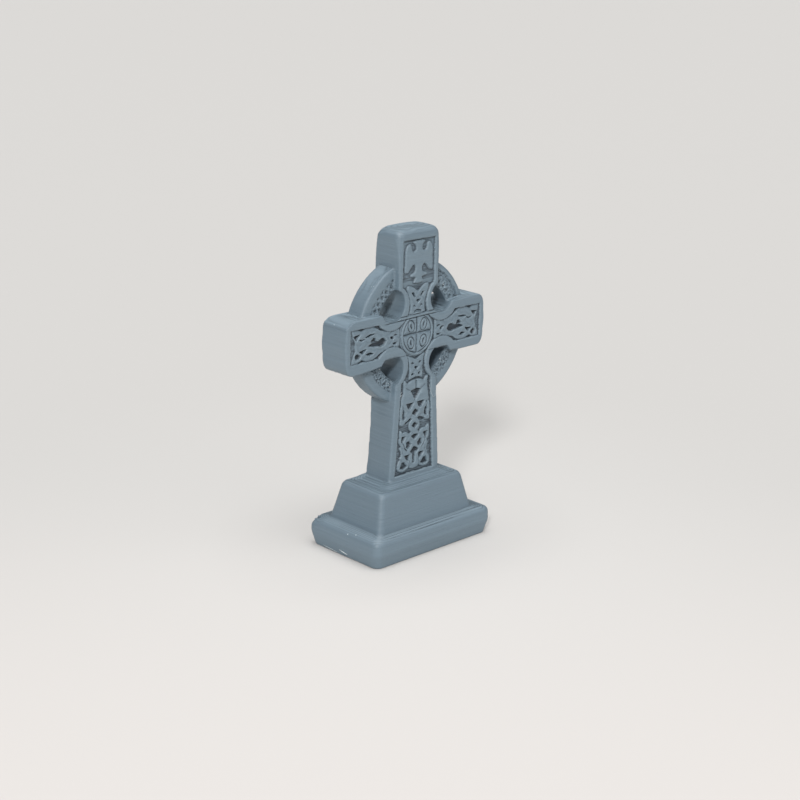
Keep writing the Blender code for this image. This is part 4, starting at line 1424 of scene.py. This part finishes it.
waver = np.array([noise.noise(Vector(p) / 2.6) for p in place])
steps = terrace_steps(x, y, z) + CONTOUR_WAVER * waver
keep_value(bm, "steps", steps)
print("contour lines to", int(steps.max()))

# %% Back to the object, thinned where it is flat
TRIANGLE_LIMIT = 190000

bm.to_mesh(memorial.data)
bm.free()
memorial.data.update()


def triangle_count(mesh):
    """How many triangles the mesh has."""
    return sum(len(p.vertices) - 2 for p in mesh.polygons)


before = triangle_count(memorial.data)
if before > TRIANGLE_LIMIT:
    thin = memorial.modifiers.new("thin", "DECIMATE")
    thin.decimate_type = "COLLAPSE"
    thin.ratio = TRIANGLE_LIMIT / before
    keep_evaluated(memorial)
print("triangles:", before, "thinned to", triangle_count(memorial.data))

# %% [markdown]
# ## Stray plastic
# The nozzle pulled a few hair-thin threads behind it, and left specks and slivers where it
# lifted. Each is a thin tube or a grain that touches the surface. Most are painted nearly
# white: a painted glint where they catch the light.

# %% Threads, slivers and specks
THREADS = [
    ([(3.5, -3.25, 31.3), (3.75, -3.45, 29.9), (4.3, -3.55, 28.75), (4.9, -3.5, 28.75),
      (5.2, -3.3, 29.8)], 0.035),
    ([(-15.15, 1.1, 1.05), (-15.19, 0.0, 0.9), (-15.1, -1.1, 0.7)], 0.09),
    ([(-15.1, 5.7, 0.6), (-15.08, 3.7, 0.45), (-15.02, 1.9, 0.3)], 0.05),
    ([(-8.9, -1.9, 49.3), (-8.6, -1.2, 49.0), (-8.2, 0.2, 48.6)], 0.06),
    ([(-4.6, -3.28, 31.0), (-4.0, -3.2, 30.9), (-3.5, -3.0, 31.0)], 0.07),
    ([(-4.5, -3.28, 30.4), (-4.0, -3.2, 30.35), (-3.6, -3.1, 30.5)], 0.05),
]
SPECKS = [
    ((-17.78, 1.5, 38.2), 0.1), ((-17.78, -2.2, 38.4), 0.11), ((-17.8, -1.05, 38.55), 0.07),
    ((-15.22, -1.33, 4.97), 0.12), ((-14.93, -3.23, 5.32), 0.1), ((-17.75, 0.4, 45.8), 0.08),
    ((-9.86, -1.0, 51.87), 0.08), ((-9.72, -1.3, 52.0), 0.06), ((-13.9, 8.4, 5.3), 0.28),
    ((-14.3, 8.9, 4.75), 0.22), ((7.9, -1.85, 49.9), 0.12), ((8.6, -1.85, 49.2), 0.11),
    ((9.4, -1.85, 47.9), 0.12), ((-8.4, -1.85, 36.2), 0.12), ((-7.2, -1.85, 33.6), 0.13),
    ((-6.1, -1.85, 33.0), 0.12), ((7.6, -1.85, 35.3), 0.12), ((-5.6, -1.85, 32.2), 0.1),
]
# Painted glint on the stray bits: full on most, fainter on the finest thread
PAINTED_GLINT = -2.5
THREAD = -1.95
FINE_THREAD = 0.045
COARSE_SPECK = 0.2


def add_thread(bm, layer, points, radius):
    """A thin tube through some points, painted pale as a painted glint."""
    rings = []
    for k, point in enumerate(points):
        along = Vector(points[min(k + 1, len(points) - 1)]) - Vector(points[max(k - 1, 0)])
        turn = along.to_track_quat("Z", "Y")
        share = radius * (0.5 if k in (0, len(points) - 1) else 1.0)
        turns = np.arange(6) * math.pi / 3
        spots = [Vector((math.cos(a), math.sin(a), 0.0)) * share for a in turns]
        rings.append([bm.verts.new(Vector(point) + turn @ spot) for spot in spots])
    for first, second in zip(rings, rings[1:]):
        for k in range(6):
            bm.faces.new((first[k], first[(k + 1) % 6], second[(k + 1) % 6], second[k]))
    bm.faces.new(rings[0][::-1])
    bm.faces.new(rings[-1])
    for vert in [v for ring in rings for v in ring]:
        vert[layer] = PAINTED_GLINT if radius > FINE_THREAD else THREAD


bm = bmesh.new()
bm.from_mesh(memorial.data)
hollow_layer = bm.verts.layers.float["hollow"]
for points, radius in THREADS:
    add_thread(bm, hollow_layer, points, radius)
# Painted glint on the small specks; the coarse ones keep the plastic's colour
for point, radius in SPECKS:
    spot = Matrix.Translation(point)
    made = bmesh.ops.create_icosphere(bm, subdivisions=1, radius=radius, matrix=spot)
    for vert in made["verts"]:
        vert[hollow_layer] = PAINTED_GLINT if radius < COARSE_SPECK else 0.0
bm.to_mesh(memorial.data)
bm.free()
print("stray bits:", len(THREADS) + len(SPECKS))

# %% Scale to metres and name the piece
memorial.data.transform(Matrix.Scale(MM, 4))
memorial.name = "printed_memorial"
memorial.data.name = "printed_memorial"
memorial.data.shade_smooth()

# %% [markdown]
# ## The plastic
# The plastic is a matt blue-grey with a faint sheen. Its layers show as fine level lines
# on the upright faces, and as contour lines where the surface is nearly level. They are too
# fine for the mesh, so they are a bump and a change of tone: noise stretched along the
# layers, and the two values that each point carries. The contour lines and the darker
# hollows, slopes and level faces low down are painted shade. Edges and level tops carry a
# painted highlight, and the stray bits a painted glint.

# %% The blue-grey plastic
PLASTIC_DARK = (0.137, 0.194, 0.240, 1.0)
PLASTIC_LIGHT = (0.168, 0.231, 0.280, 1.0)
# Colours for painted shade, painted highlight and painted glint
PLASTIC_PAINTED_SHADE = (0.018, 0.027, 0.038, 1.0)
PLASTIC_PAINTED_HIGHLIGHT = (0.250, 0.325, 0.375, 1.0)
PLASTIC_PAINTED_GLINT = (0.620, 0.680, 0.700, 1.0)


STREAKS = ((60.0, 60.0, 3600.0), 2.0, 3.7)
BANDS = ((25.0, 25.0, 900.0), 2.0, 9.1)
DASHES = ((900.0, 900.0, 4400.0), 1.0, 7.9)
SPECKLE = ((2600.0, 2600.0, 2600.0), 2.0, 5.5)
CLOUD = ((130.0, 130.0, 130.0), 3.0, 1.3)
# Strengths of the painted highlight on level tops and of the painted shade on slopes, low faces and
# contour lines
PAINTED_TOP_LIGHT = 0.3
SLOPE_SHADE = 0.85
LOW_SHADE = 0.1
LOW_FADE = 34.0
LINE_SHADE = 0.75
TERRACE_BUMP = 3.6
BUMP_DISTANCE = 0.00009


def grain(spot, scale, detail, seed):
    """Noise with so many cells to the metre along each axis."""
    settings = {"Vector": spot, "Scale": scale, "Location": (seed, seed, seed)}
    moved = Wire.node("ShaderNodeMapping", inputs=settings)
    settings = {"Vector": moved, "Scale": 1.0, "Detail": detail, "Roughness": 0.6}
    return Wire.node("ShaderNodeTexNoise", inputs=settings)


def plastic():
    """Matt blue-grey plastic with fine level layers and contour lines, painted shade in the hollows and
    painted highlight on edges and tops.
    """
    material, shader = new_material("blue_grey_plastic")
    shader.inputs["Metallic"].default_value = 0.0
    spot = Wire.node("ShaderNodeTexCoord", output="Object")
    facing = Wire.node("ShaderNodeTexCoord", output="Normal")
    streaks, bands, speckle, cloud, dashes = [
        grain(spot, *kind) for kind in (STREAKS, BANDS, SPECKLE, CLOUD, DASHES)
    ]
    upward = Wire.node("ShaderNodeSeparateXYZ", inputs={"Vector": facing}, output=2)
    height = Wire.node("ShaderNodeSeparateXYZ", inputs={"Vector": spot}, output=2)
    hollow = Wire.node("ShaderNodeAttribute", {"attribute_name": "hollow"}, output=2)
    steps = Wire.node("ShaderNodeAttribute", {"attribute_name": "steps"}, output=2)
    level = upward * upward
    terrace = steps.math("FRACT")
    line = ((terrace - 0.5) * 2.0).math("ABSOLUTE").math("POWER", 4.0)
    line = line * level * level * (cloud * 2.2 - 0.3)
    low = (1.0 - height * LOW_FADE).math("MAXIMUM", 0.0)
    slope = upward.math("MAXIMUM", 0.0) * (1.0 - upward)

    tone = (cloud - 0.5) * 0.3 + (bands - 0.5) * 0.5 + (streaks - 0.5) * 0.9 + 0.5
    colour = mix(tone.math("MINIMUM", 1.0).math("MAXIMUM", 0.0), PLASTIC_DARK, PLASTIC_LIGHT)
    # Painted highlight: level tops are painted lighter
    colour = mix(level * level * PAINTED_TOP_LIGHT, colour, PLASTIC_PAINTED_HIGHLIGHT)
    # Painted shade on slopes, on level faces low down and along the contour lines of the layers
    shade = slope * SLOPE_SHADE + level * level * low * LOW_SHADE + line * LINE_SHADE
    colour = mix(shade, colour, PLASTIC_PAINTED_SHADE)
    # Painted shade in hollows, painted highlight on crests, painted glint on stray bits and the upper
    # left notch
    colour = mix(hollow.math("MAXIMUM", 0.0), colour, PLASTIC_PAINTED_SHADE)
    colour = mix((hollow * -0.5).math("MAXIMUM", 0.0).math("MINIMUM", 0.5), colour, PLASTIC_PAINTED_HIGHLIGHT)
    colour = mix(((hollow + 1.5) * -1.0).math("MAXIMUM", 0.0), colour, PLASTIC_PAINTED_GLINT)
    Wire.tree.links.new(colour.socket, shader.inputs["Base Color"])
    rough = (speckle - 0.5) * 0.12 + 0.5
    Wire.tree.links.new(rough.socket, shader.inputs["Roughness"])
    relief = streaks * 0.7 + bands * 0.5 + dashes * 0.4 + speckle * 0.1
    relief = relief - terrace * level * level * TERRACE_BUMP
    settings = {"Strength": 0.8, "Distance": BUMP_DISTANCE, "Height": relief}
    bump = Wire.node("ShaderNodeBump", inputs=settings)
    Wire.tree.links.new(bump.socket, shader.inputs["Normal"])
    return material


memorial.data.materials.clear()
memorial.data.materials.append(plastic())
print("plastic on", len(memorial.data.polygons), "faces")

# %% [markdown]
# ## Join the frame
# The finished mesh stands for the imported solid, which is hidden but keeps its weight and
# its collision shape.

# %% Ride, replace and finish
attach(memorial, "root")
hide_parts(NODE)
